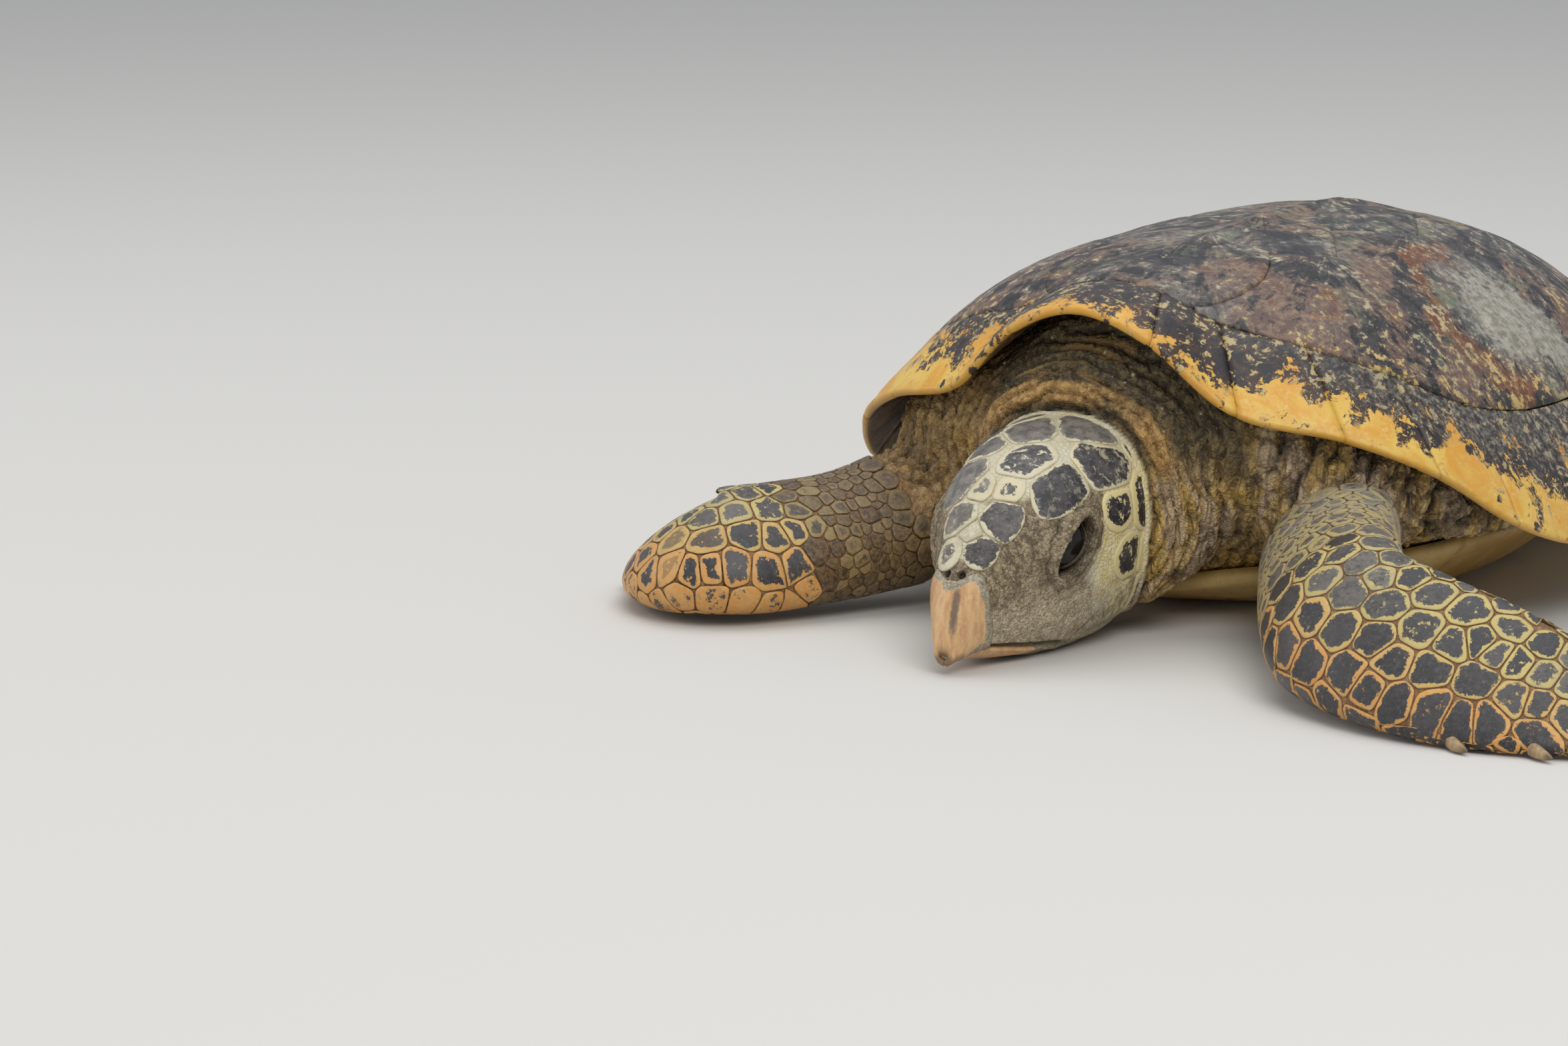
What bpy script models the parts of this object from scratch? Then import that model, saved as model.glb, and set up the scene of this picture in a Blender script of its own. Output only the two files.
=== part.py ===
"""Hawksbill sea turtle (Eretmochelys imbricata), a life-size still model at rest.

The turtle faces -Y with its left side at +X. It lies on the floor at z = 0 on flats
under the plastron, throat, beak, flippers and tail. The origin is on the underside of
the plastron. The shell is worked out from the seams of its rim: u runs from the keel
(0) to the rim (1), and k counts the marginal seams from the nape (0) to the rump (13).
"""
from math import cos, pi, radians, sin

import bmesh
import bpy
from mathutils import Matrix, Vector

GAP = 0.0003                # clearance between neighbouring solids
SEAM_K = 0.0088             # half a groove between two scutes, in marginal seams
RUMP_SEAM_K = 0.011         # the same at the rump, where the seams draw together
SEAM_U = 0.0044             # half a groove that runs along the back, as a share u
COSTAL_SEAM_U = 0.0077      # and at the costals' upper edge
FACET_ROOM = 0.0015         # air for the flat facets of two curved solids that nest
PLATE = 0.005               # thickness of the scutes of the back
RIM_PLATE = 0.014           # thickness of the marginal scutes
RIM_EDGE = 0.007            # their thickness at the rim in front
RIM_THICKENS = (7.0, 9.5)   # the marginal seams between which the rim grows full again
RIM_REACH = 0.0112          # how far they go on from their turn to the tip of the rounding
RIM_WIDTH = 0.055           # width of the marginal scutes, from seam to rim
RIM_TURN = 0.985            # the share u at which their tops turn over
RIM_NOSE = 50               # degrees that the rounded rim turns above and below
OVERLAP_STEP = 0.0028       # how far a scute's rear edge stands over the next scute
SERRATION = 0.013           # how far the teeth of the rear rim stand out
TEETH_FROM = 6              # the marginal seam where they begin
TEETH_FULL = 10             # and where they have their full size

# Where each marginal seam meets the rim on the left side: (x, y, z).
RIM = [(0.000, -0.361, 0.245), (0.058, -0.357, 0.226), (0.118, -0.341, 0.178),
       (0.188, -0.310, 0.161), (0.243, -0.266, 0.133), (0.278, -0.205, 0.090),
       (0.294, -0.125, 0.062), (0.297, -0.030, 0.053), (0.286, 0.070, 0.052),
       (0.260, 0.165, 0.057), (0.218, 0.250, 0.064), (0.160, 0.325, 0.071),
       (0.085, 0.381, 0.075), (0.000, 0.402, 0.073)]
LAST = len(RIM) - 1
KEEL_SHARE = 0.62           # the keel's length as a share of the shell's
CREST = 0.278               # height of the keel at its highest point
CREST_Y = -0.005
FRONT_FALL = 0.25           # how fast the keel falls towards the nape
REAR_FALL = 0.95            # and towards the rump
DOME_POWER = 2.4            # roundness of the dome across the back
DOME_ROOT = 0.78
FLARE_POWER = 3.0           # the same in front, where the shell flares to its rim
FLARE_ROOT = 1.15
FLARE_FULL = 4.0            # the marginal seam up to which it has its full effect
FLARE_END = 7.5             # and the one where it ends
STRAIGHT_MOST = 0.8         # the most of the dome's fall that is straight
KEEL_SNAP = 0.75            # the keel's points this near to its ends (k) close up
KEEL_RIDGE = 0.004          # height of the low ridge along the keel
RIDGE_WIDTH = 0.016
RIDGE_FULL = 2.0            # the marginal seam from which the ridge has its full height

# Half-width of the vertebral scutes at each seam, as (k, u). They are widest where a
# costal seam meets them. At VERTEBRAL_TIPS their edge runs into the marginals.
VERTEBRAL_EDGE = [(4, 0.25), (5, 0.36), (6, 0.20), (7, 0.34), (8, 0.21), (9, 0.36),
                  (10, 0.28), (11, 0.58)]
VERTEBRAL_TIPS = (1.5, 11.8)
VERTEBRAL_SEAMS = [0, 4, 6, 8, 10, 13]
COSTAL_SEAMS = [1.5, 5, 7, 9, 11.8]
COSTAL_TIP = 0.14           # the first and last costals stop this far (k) from a point

PLASTRON_WIDTH = 0.66       # the plastron's outline as shares of the rim's
PLASTRON_LENGTH = 0.76
PLASTRON_PLATE = 0.012
PLASTRON_FLAT = 0.60        # share of the plastron that lies on the floor
BRIDGE_RISE = 0.030         # how far the plastron turns up to the bridge
END_RISE = 0.018
SKIRT_END = 0.93            # how far out under the rim the skin of the flanks reaches
SKIRT_NAPE = 0.35           # the share of it left at the nape
SKIRT_REAR_LOSS = 0.45      # and the share that it loses behind
SKIRT_BULGE = 0.020
CHEST_BULGE = 0.030
SHOULDER_BULGE = 0.034      # how far it swells round the shoulders, under the rim
SHOULDER_RISE = (1.8, 3.2)  # the marginal seams between which that swelling grows
SHOULDER_FALL = (5.4, 7.0)  # and those between which it ends
BODY_TUCK = 0.035           # how far inside the marginals the body's top ends, as u
TURN_STEP = 0.65            # spacing of the body's sections, in marginal seams
SPACE_MARGIN = 0.045        # how far the shell's cutter goes beyond the shell

HEAD_AT = Vector((-0.012, -0.431, 0.089))       # midpoint between the eyes
HEAD_PITCH = radians(10)
HEAD_YAW = radians(-2)
HEAD_POWER = 2.3            # squareness of the head's sections
HEAD_WIDEST = 0.58          # the share of its height at which the head is widest
# Sections of the head: (forward, half-width, top, bottom), measured from HEAD_AT.
HEAD = [(-0.138, 0.044, 0.028, -0.064), (-0.118, 0.060, 0.050, -0.084),
        (-0.090, 0.0680, 0.058, -0.098), (-0.055, 0.0690, 0.0605, -0.102),
        (-0.022, 0.0645, 0.0570, -0.099), (0.008, 0.0570, 0.0500, -0.094),
        (0.034, 0.0460, 0.0365, -0.086), (0.056, 0.0345, 0.0235, -0.077),
        (0.074, 0.0260, 0.0110, -0.070), (0.089, 0.0190, -0.004, -0.065),
        (0.102, 0.0120, -0.026, -0.062), (0.111, 0.0060, -0.048, -0.062)]
MOUTH_UP = -0.051           # height of the bite line
BEAK_FROM = 0.048           # where the horn of the upper beak starts
CHIN_FROM = 0.030           # where the horn of the lower beak starts
BEAK_TOP = -0.004
EYE_RADIUS = 0.0155
EYE_ACROSS = 0.0455
EYE_FORWARD = 0.005
EYE_UP = -0.002

NECK_POWER = 2.2
# Sections of the neck: (centre, half-width, half-height).
NECK = [((0.000, -0.215, 0.125), 0.085, 0.072), ((-0.002, -0.255, 0.124), 0.096, 0.088),
        ((-0.004, -0.290, 0.122), 0.103, 0.098), ((-0.006, -0.318, 0.117), 0.100, 0.103),
        ((-0.008, -0.340, 0.110), 0.089, 0.099), ((-0.010, -0.354, 0.104), 0.073, 0.085)]

# Sections of a limb: (centre, direction of its leading edge, half-chord, half-depth).
LEFT_ARM = [((0.150, -0.235, 0.082), (-0.45, -0.30, -0.75), 0.060, 0.048),
            ((0.170, -0.290, 0.075), (-0.50, -0.30, -0.73), 0.059, 0.046),
            ((0.200, -0.350, 0.069), (-0.55, -0.32, -0.73), 0.059, 0.044),
            ((0.234, -0.412, 0.065), (-0.52, -0.42, -0.73), 0.060, 0.041),
            ((0.268, -0.460, 0.059), (-0.34, -0.58, -0.72), 0.061, 0.036)]
RIGHT_ARM = [((0.150, -0.235, 0.080), (-0.45, -0.30, -0.75), 0.060, 0.046),
             ((0.170, -0.290, 0.068), (-0.50, -0.40, -0.65), 0.058, 0.043),
             ((0.197, -0.348, 0.056), (-0.52, -0.55, -0.55), 0.056, 0.038),
             ((0.226, -0.404, 0.052), (-0.45, -0.68, -0.52), 0.058, 0.035),
             ((0.256, -0.446, 0.050), (-0.20, -0.80, -0.55), 0.058, 0.033)]
LEFT_BLADE = [((0.325, -0.489, 0.052), (-0.08, -0.70, -0.70), 0.062, 0.026),
              ((0.385, -0.497, 0.043), (0.02, -0.73, -0.66), 0.060, 0.018),
              ((0.440, -0.494, 0.034), (0.10, -0.78, -0.60), 0.051, 0.0125),
              ((0.488, -0.482, 0.021), (0.20, -0.84, -0.48), 0.035, 0.0085),
              ((0.520, -0.468, 0.010), (0.30, -0.88, -0.35), 0.012, 0.0045)]
RIGHT_BLADE = [((0.290, -0.436, 0.046), (0.40, -0.72, -0.55), 0.057, 0.028),
               ((0.322, -0.392, 0.039), (0.72, -0.40, -0.54), 0.054, 0.020),
               ((0.342, -0.338, 0.029), (0.80, -0.18, -0.50), 0.047, 0.013),
               ((0.358, -0.282, 0.019), (0.88, -0.04, -0.42), 0.034, 0.0085),
               ((0.366, -0.243, 0.010), (0.92, 0.05, -0.33), 0.012, 0.0045)]
LEG = [((0.095, 0.205, 0.052), (0.75, -0.45, -0.22), 0.050, 0.032),
       ((0.145, 0.270, 0.038), (0.80, -0.50, -0.20), 0.050, 0.024),
       ((0.190, 0.325, 0.027), (0.82, -0.52, -0.16), 0.053, 0.018),
       ((0.227, 0.372, 0.018), (0.82, -0.54, -0.10), 0.055, 0.012),
       ((0.252, 0.408, 0.010), (0.80, -0.56, -0.05), 0.043, 0.0075),
       ((0.268, 0.434, 0.007), (0.80, -0.56, -0.03), 0.014, 0.0040)]
TAIL = [((0.0, 0.250, 0.048), (0, 0, -1), 0.034, 0.040),
        ((0.0, 0.310, 0.035), (0, 0, -1), 0.028, 0.032),
        ((0.0, 0.370, 0.022), (0, 0, -1), 0.020, 0.021),
        ((0.0, 0.418, 0.010), (0, 0, -1), 0.009, 0.008)]
TRAILING_THIN = 0.45        # how much thinner a flat limb is at its trailing edge
ARM_CLAWS = [6.15, 7.05]    # where along a limb's sections its two claws stand
LEG_CLAWS = [2.75, 3.55]
CLAW_LENGTH = 0.022
CLAW_RADIUS = 0.0048
CLAW_SINK = 0.004           # how deep a claw sits in the edge of the limb
CLAW_TIP = 0.2              # radius of its tip as a share of its root's
CLAW_LEAN = 0.75            # how far it turns from the limb's length to its edge
CLAW_DROP = 0.10            # the most it points down
CLAW_ROOM = 1.12            # size of the hole that it sits in, against its own

COLOURS = {"shell": ((0.13, 0.055, 0.016), 0.42), "rim": ((0.62, 0.30, 0.05), 0.42),
           "belly": ((0.72, 0.55, 0.24), 0.50), "skin": ((0.26, 0.20, 0.09), 0.62),
           "horn": ((0.62, 0.40, 0.20), 0.38), "eye": ((0.012, 0.010, 0.010), 0.08)}


# ---------------------------------------------------------------- scene and materials

def clear_scene():
    for item in list(bpy.data.objects):
        bpy.data.objects.remove(item)


def collection(name):
    group = bpy.data.collections.new(name)
    bpy.context.scene.collection.children.link(group)
    return group


def material(name, look):
    colour, roughness = COLOURS[look]
    made = bpy.data.materials.new(name)
    made.use_nodes = True
    shader = made.node_tree.nodes["Principled BSDF"]
    shader.inputs["Base Color"].default_value = (*colour, 1)
    shader.inputs["Roughness"].default_value = roughness
    shader.inputs["Metallic"].default_value = 0
    return made


def add_object(name, mesh, look, group):
    made = bpy.data.objects.new(name, mesh)
    mesh.materials.append(material(name, look))
    group.objects.link(made)
    mesh.shade_smooth()
    mesh.set_sharp_from_angle(angle=radians(40))
    return made


def add_cutter(name, mesh, group):
    made = bpy.data.objects.new(name, mesh)
    group.objects.link(made)
    made.hide_render = True
    made.display_type = "WIRE"
    return made


def cut(target, cutter, operation="DIFFERENCE"):
    boolean = target.modifiers.new(cutter.name, "BOOLEAN")
    boolean.operation = operation
    boolean.object = cutter


# ---------------------------------------------------------------- shapes

def spline(table, position):
    """Read a smooth curve through equally spaced rows of numbers."""
    start = min(max(int(position), 0), len(table) - 2)
    t = position - start
    rows = [table[min(max(start + step, 0), len(table) - 1)] for step in (-1, 0, 1, 2)]
    return [0.5 * (2 * b + (c - a) * t + (2 * a - 5 * b + 4 * c - d) * t ** 2
                   + (3 * b - a - 3 * c + d) * t ** 3) for a, b, c, d in zip(*rows)]


def mesh_from(name, points, faces):
    mesh = bpy.data.meshes.new(name)
    shape = bmesh.new()
    corners = [shape.verts.new(point) for point in points]
    for face in faces:
        shape.faces.new([corners[index] for index in face])
    bmesh.ops.remove_doubles(shape, verts=shape.verts, dist=1e-6)
    bmesh.ops.recalc_face_normals(shape, faces=shape.faces)
    shape.to_mesh(mesh)
    shape.free()
    return mesh


def loft(name, rings):
    """Skin a row of closed rings with triangles and close both ends with a fan."""
    size = len(rings[0])
    points = [point for ring in rings for point in ring]
    faces = []
    for row in range(len(rings) - 1):
        for column in range(size):
            here = row * size + column
            after = row * size + (column + 1) % size
            faces += [(here, after, after + size), (here, after + size, here + size)]
    for row in (0, len(rings) - 1):
        middle = sum(rings[row], Vector()) / size
        points.append(middle)
        faces += [(row * size + column, row * size + (column + 1) % size, len(points) - 1)
                  for column in range(size)]
    return mesh_from(name, points, faces)


def round_power(value, power):
    return (abs(value) ** (2 / power)) * (1 if value >= 0 else -1)


def on_floor(point):
    return Vector((point.x, point.y, max(point.z, 0.0)))


# ---------------------------------------------------------------- the shell's surface

def rim(k):
    """The rim at seam number k. The table goes on past both ends by symmetry."""
    mirrored = [tuple([-RIM[1][0]] + list(RIM[1][1:]))] + RIM
    mirrored.append(tuple([-RIM[-2][0]] + list(RIM[-2][1:])))
    return Vector(spline(mirrored, k + 1))


def keel_height(y):
    fall = FRONT_FALL if y < CREST_Y else REAR_FALL
    return CREST - fall * (y - CREST_Y) ** 2


def dome_point(u, k, side):
    """A point of the dome. It leaves the keel with the keel's own slope."""
    edge = rim(k)
    x = u * edge.x
    y = (KEEL_SHARE + (1 - KEEL_SHARE) * u) * edge.y
    keel_y = KEEL_SHARE * edge.y
    height = keel_height(keel_y) - edge.z
    slope = (keel_height(keel_y + 0.001) - keel_height(keel_y - 0.001)) / 0.002
    straight = min(max(slope * (keel_y - edge.y) / height, 0), STRAIGHT_MOST)
    flare = min(max((FLARE_END - k) / (FLARE_END - FLARE_FULL), 0), 1)
    power = DOME_POWER + (FLARE_POWER - DOME_POWER) * flare
    root = DOME_ROOT + (FLARE_ROOT - DOME_ROOT) * flare
    round_fall = 1 - max(1 - u ** power, 0) ** root
    z = edge.z + height * (1 - straight * u - (1 - straight) * round_fall)
    ridge = KEEL_RIDGE * min(k / RIDGE_FULL, 1) * max(1 - (x / RIDGE_WIDTH) ** 2, 0) ** 2
    return Vector((side * x, y, z + ridge))


def dome_frame(u, k, side):
    """The point, the outward normal and the outward slope of the dome."""
    point = dome_point(u, k, side)
    reach = 0.01 if u < 0.98 else -0.01
    outward = (dome_point(u + reach, k, side) - point) * (1 if reach > 0 else -1)
    u_turn = max(u, 0.05)
    ahead = dome_point(u_turn, k + 0.05, side)
    behind = dome_point(u_turn, k - 0.05, side)
    normal = outward.cross(ahead - behind).normalized()
    if normal.z < 0:
        normal.negate()
    return point, normal, outward.normalized()


def dome(u, k, side, lift):
    point, normal, _ = dome_frame(u, k, side)
    if u == 0 or k in (0, LAST):
        normal = Vector((0, normal.y, normal.z)).normalized()
    return point + normal * lift


def rim_inner(k):
    """The share u at which the marginal scutes begin."""
    edge = rim(k)
    spread = Vector((edge.x, (1 - KEEL_SHARE) * edge.y)).length
    return 1 - RIM_WIDTH / spread


def vertebral_edge(k):
    inner = rim_inner(k)
    first, last = VERTEBRAL_TIPS
    corners = [(first, inner)] + VERTEBRAL_EDGE + [(last, inner)]
    for (k0, u0), (k1, u1) in zip(corners, corners[1:]):
        if k0 <= k <= k1:
            return u0 + (u1 - u0) * (k - k0) / (k1 - k0)
    return inner


def steps(start, stop, count):
    return [start + (stop - start) * index / count for index in range(count + 1)]


def rows_between(first, last):
    """Rows at both ends and at every half seam between, where the outlines turn."""
    halves = [index / 2 for index in range(2 * LAST + 1)]
    return [first] + [k for k in halves if first + 0.1 < k < last - 0.1] + [last]


def keel_row(k):
    """The keel's points next to the nape and the rump close up into one."""
    return 0 if k < KEEL_SNAP else LAST if k > LAST - KEEL_SNAP else k


def sheet(name, grids, look, group):
    """A scute: one or two grids of (u, k, side, lift), thickened inwards."""
    points = []
    faces = []
    for grid in grids:
        base = len(points)
        columns = len(grid[0])
        points += [dome(*cell) for row in grid for cell in row]
        for row in range(len(grid) - 1):
            for column in range(columns - 1):
                corner = base + row * columns + column
                faces.append((corner, corner + 1, corner + columns + 1, corner + columns))
    mesh = mesh_from(name, points, faces)
    if mesh.polygons[0].normal.z < 0:
        mesh.flip_normals()
    made = add_object(name, mesh, look, group)
    solid = made.modifiers.new("Thickness", "SOLIDIFY")
    solid.thickness = PLATE
    solid.offset = -1
    return made


# ---------------------------------------------------------------- shell nodes

def vertebrals(group):
    for number, (start, stop) in enumerate(zip(VERTEBRAL_SEAMS, VERTEBRAL_SEAMS[1:]), 1):
        first = start if start == 0 else start + SEAM_K
        last = stop if stop == LAST else stop - SEAM_K
        grids = []
        for side in (1, -1):
            grid = []
            for k in rows_between(first, last):
                edge = vertebral_edge(k) - SEAM_U
                rows = [(share, k if share else keel_row(k)) for share in steps(0, 1, 4)]
                grid.append([(edge * share, row, side,
                              OVERLAP_STEP * (row - start) / (stop - start))
                             for share, row in rows])
            grids.append(grid)
        sheet(f"vertebral_{number}", grids, "shell", group)


def costals(group):
    for label, side in (("left", 1), ("right", -1)):
        for number, (start, stop) in enumerate(zip(COSTAL_SEAMS, COSTAL_SEAMS[1:]), 1):
            grid = []
            first = start + (COSTAL_TIP if number == 1 else SEAM_K)
            last = stop - (COSTAL_TIP if number == 4 else SEAM_K)
            for k in rows_between(first, last):
                inner = vertebral_edge(k) + COSTAL_SEAM_U
                outer = rim_inner(k) - SEAM_U
                rise = OVERLAP_STEP * (k - start) / (stop - start)
                grid.append([(inner + (outer - inner) * share, k, side, rise)
                             for share in steps(0, 1, 4)])
            sheet(f"costal_{label}_{number}", [grid], "shell", group)


def tooth(k, first):
    """How far the rim of a marginal stands out, growing towards its rear end."""
    rear_part = min(max((k - TEETH_FROM) / (TEETH_FULL - TEETH_FROM), 0), 1)
    return SERRATION * rear_part * (k - first)


def rim_section(k, side, first):
    """A closed section through a marginal scute: top, rounded edge, underside."""
    inner = rim_inner(k)
    full = (k - RIM_THICKENS[0]) / (RIM_THICKENS[1] - RIM_THICKENS[0])
    edge = RIM_EDGE + (RIM_PLATE - RIM_EDGE) * min(max(full, 0), 1)
    top = []
    under = []
    for share in (0, 0.5, 1):
        u = min(inner + (1 - inner) * share, RIM_TURN)
        point, normal, _ = dome_frame(u, k, side)
        top.append(point)
        under.append(point - normal * (RIM_PLATE + (edge - RIM_PLATE) * share))
    point, normal, outward = dome_frame(RIM_TURN, k, side)
    radius = edge / 2
    middle = (point - normal * radius
              + outward * (tooth(k, first) + RIM_REACH - radius))
    nose = [middle + outward * radius * cos(turn) + normal * radius * sin(turn)
            for turn in (radians(RIM_NOSE), 0, radians(-RIM_NOSE))]
    return top + nose + under[::-1]


def marginals(group):
    for label, side in (("left", 1), ("right", -1)):
        for first in range(1, LAST):
            stop = first + 1 - (RUMP_SEAM_K if first == LAST - 1 else SEAM_K)
            rings = [rim_section(k, side, first) for k in steps(first + SEAM_K, stop, 2)]
            name = f"marginal_{label}_{first}"
            add_object(name, loft(name, rings), "rim", group)
    rings = []
    for turn in steps(SEAM_K - 1, 1 - SEAM_K, 6):
        side = 1 if turn >= 0 else -1
        rings.append(rim_section(abs(turn), side, 0))
    add_object("nuchal", loft("nuchal", rings), "rim", group)


def plastron_point(r, k, side):
    edge = rim(k)
    lift = BRIDGE_RISE * sin(pi * min(k / LAST, 1)) + END_RISE
    turned = min(max((r - PLASTRON_FLAT) / (1 - PLASTRON_FLAT), 0), 1)
    return Vector((side * r * PLASTRON_WIDTH * edge.x, r * PLASTRON_LENGTH * edge.y,
                   lift * turned ** 2))


def around(step):
    """Every (k, side) once round the shell, from the nape along the left side."""
    count = round(LAST / step)
    left = [(step * index, 1) for index in range(count + 1)]
    right = [(step * index, -1) for index in range(count - 1, 0, -1)]
    return left + right


def plastron_mesh(name, grow):
    """The belly plate, larger by grow all round."""
    turns = around(TURN_STEP)
    low = Vector((0, 0, -grow))
    high = Vector((0, 0, PLASTRON_PLATE + grow))
    rings = []
    for r in (PLASTRON_FLAT / 2, PLASTRON_FLAT, 0.8, 1.0):
        rings.append([plastron_point(r * (1 + 6 * grow), k, side) + low
                      for k, side in turns])
    for r in (1.0, 0.8, PLASTRON_FLAT, PLASTRON_FLAT / 2):
        rings.append([plastron_point(r * (0.985 + 6 * grow), k, side) + high
                      for k, side in turns])
    return loft(name, rings)


def skirt_share(k):
    """How far out under the rim the skin reaches: less at the nape and behind."""
    ahead = SKIRT_NAPE + (1 - SKIRT_NAPE) * min(max(k / 2.2, 0), 1)
    return ahead - SKIRT_REAR_LOSS * min(max((k - 7) / 3, 0), 1)


def shoulder_share(k):
    """How much the skin swells round the shoulders at seam number k."""
    rise = min(max((k - SHOULDER_RISE[0]) / (SHOULDER_RISE[1] - SHOULDER_RISE[0]), 0), 1)
    fall = min(max((SHOULDER_FALL[1] - k) / (SHOULDER_FALL[1] - SHOULDER_FALL[0]), 0), 1)
    return rise * fall


def trunk_mesh(name, grow):
    """The body between the scutes and the plastron, larger by grow all round."""
    turns = around(TURN_STEP)
    sink = -(PLATE + FACET_ROOM) + grow
    under = -(RIM_PLATE + 2 * FACET_ROOM) + grow
    floor = Vector((0, 0, PLASTRON_PLATE + 2 * GAP - grow))
    rings = []
    for share in (0.30, 0.60, 0.85, 1.0):
        rings.append([dome(share * (rim_inner(k) - BODY_TUCK) + 4 * grow, k, side, sink)
                      for k, side in turns])
    rings.append([dome(rim_inner(k) - BODY_TUCK + 4 * grow, k, side, under)
                  for k, side in turns])
    skirt = []
    high_bulge = []
    low_bulge = []
    edge = []
    for k, side in turns:
        inner = rim_inner(k)
        high = dome(inner + (SKIRT_END - inner) * skirt_share(k) + 4 * grow, k, side, under)
        low = plastron_point(0.99 + 6 * grow, k, side) + floor
        outward = Vector((low.x, low.y, 0)).normalized()
        swell = SKIRT_BULGE * skirt_share(k) + CHEST_BULGE * max(1 - k / 4, 0) + grow
        shoulder = SHOULDER_BULGE * shoulder_share(k)
        skirt.append(high)
        high_bulge.append(high.lerp(low, 0.3) + outward * (0.84 * swell + 0.55 * shoulder))
        low_bulge.append(high.lerp(low, 0.7) + outward * (0.84 * swell + shoulder))
        edge.append(low)
    rings += [skirt, high_bulge, low_bulge, edge]
    for r in (PLASTRON_FLAT, PLASTRON_FLAT / 2):
        rings.append([plastron_point(r, k, side) + floor for k, side in turns])
    return loft(name, rings)


def shell_cutter(group):
    """All of the space that the shell's edge takes, with a little air under it."""
    turns = around(TURN_STEP)
    below = -(RIM_PLATE + FACET_ROOM)
    rings = [[dome(share, k, side, below) for k, side in turns]
             for share in (0.3, 0.6, 0.85, RIM_TURN)]
    outer = []
    raised = []
    for k, side in turns:
        point, normal, outward = dome_frame(RIM_TURN, k, side)
        outer.append(point + normal * below + outward * SPACE_MARGIN)
        raised.append(point + (normal + outward) * SPACE_MARGIN)
    rings += [outer, raised, [dome(0.3, k, side, SPACE_MARGIN) for k, side in turns]]
    return add_cutter("shell space", loft("shell space", rings), group)


# ---------------------------------------------------------------- head and neck

HEAD_FRAME = (Matrix.Translation(HEAD_AT) @ Matrix.Rotation(-HEAD_YAW, 4, "Z")
              @ Matrix.Rotation(HEAD_PITCH, 4, "X"))


def head_point(across, forward, up):
    return HEAD_FRAME @ Vector((across, -forward, up))


def head_ring(position, grow=0.0, sides=20):
    forward, width, top, bottom = spline(HEAD, position)
    middle = bottom + HEAD_WIDEST * (top - bottom)
    ring = []
    for index in range(sides):
        turn = 2 * pi * index / sides
        across = (width + grow) * round_power(sin(turn), HEAD_POWER)
        rise = round_power(cos(turn), HEAD_POWER)
        reach = (top - middle) if rise > 0 else (middle - bottom)
        ring.append(on_floor(head_point(across, forward, middle + rise * (reach + grow))))
    return ring


def head_mesh(name, grow=0.0):
    positions = steps(0, len(HEAD) - 1, 18)
    return loft(name, [head_ring(position, grow) for position in positions])


def head_box(name, group, forward, low, high):
    """A cutter that takes the head in front of forward, between two heights."""
    shape = bmesh.new()
    bmesh.ops.create_cube(shape, size=1)
    size = Vector((0.12, 0.12, high - low))
    middle = Vector((0, -(forward + size.y / 2), (low + high) / 2))
    place = HEAD_FRAME @ Matrix.Translation(middle) @ Matrix.Diagonal((*size, 1))
    bmesh.ops.transform(shape, matrix=place, verts=shape.verts)
    mesh = bpy.data.meshes.new(name)
    shape.to_mesh(mesh)
    shape.free()
    return add_cutter(name, mesh, group)


def ball(name, place, radius, rings=8):
    shape = bmesh.new()
    bmesh.ops.create_uvsphere(shape, u_segments=2 * rings, v_segments=rings, radius=radius)
    bmesh.ops.transform(shape, matrix=place, verts=shape.verts)
    mesh = bpy.data.meshes.new(name)
    shape.to_mesh(mesh)
    shape.free()
    return mesh


def eye_place(side):
    offset = Matrix.Translation((side * EYE_ACROSS, -EYE_FORWARD, EYE_UP))
    return HEAD_FRAME @ offset @ Matrix.Rotation(side * pi / 2, 4, "Y")


def head(group, cutters, neck_space):
    skull = add_object("head", head_mesh("head"), "skin", group)
    upper = add_object("beak_upper", head_mesh("beak_upper"), "horn", group)
    lower = add_object("beak_lower", head_mesh("beak_lower"), "horn", group)
    deep = HEAD[3][3] - 0.05
    cut(skull, neck_space)
    cut(skull, head_box("upper space", cutters, BEAK_FROM, MOUTH_UP - GAP, BEAK_TOP))
    cut(skull, head_box("lower space", cutters, CHIN_FROM, deep, MOUTH_UP))
    cut(upper, head_box("upper beak", cutters, BEAK_FROM + GAP, MOUTH_UP + GAP,
                        BEAK_TOP - GAP), "INTERSECT")
    cut(lower, head_box("lower beak", cutters, CHIN_FROM + GAP, deep, MOUTH_UP - GAP),
        "INTERSECT")
    for label, side in (("left", 1), ("right", -1)):
        name = f"eye_{label}"
        add_object(name, ball(name, eye_place(side), EYE_RADIUS), "eye", group)
        socket = ball(f"{name} socket", eye_place(side), EYE_RADIUS + 2 * GAP)
        cut(skull, add_cutter(f"{name} socket", socket, cutters))


def neck_ring(position, grow, sides=20):
    x, y, z, width, height = spline([(*at, w, h) for at, w, h in NECK], position)
    ring = []
    for index in range(sides):
        turn = 2 * pi * index / sides
        across = (width + grow) * round_power(sin(turn), NECK_POWER)
        rise = (height + grow) * round_power(cos(turn), NECK_POWER)
        ring.append(on_floor(Vector((x + across, y, z + rise))))
    return ring


def neck_mesh(name, grow=0.0):
    rings = [neck_ring(position, grow) for position in steps(0, len(NECK) - 1, 10)]
    forward = Vector((0, -grow, 0))
    rings[-1] = [point + forward for point in rings[-1]]
    return loft(name, rings)


# ---------------------------------------------------------------- limbs and tail

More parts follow.
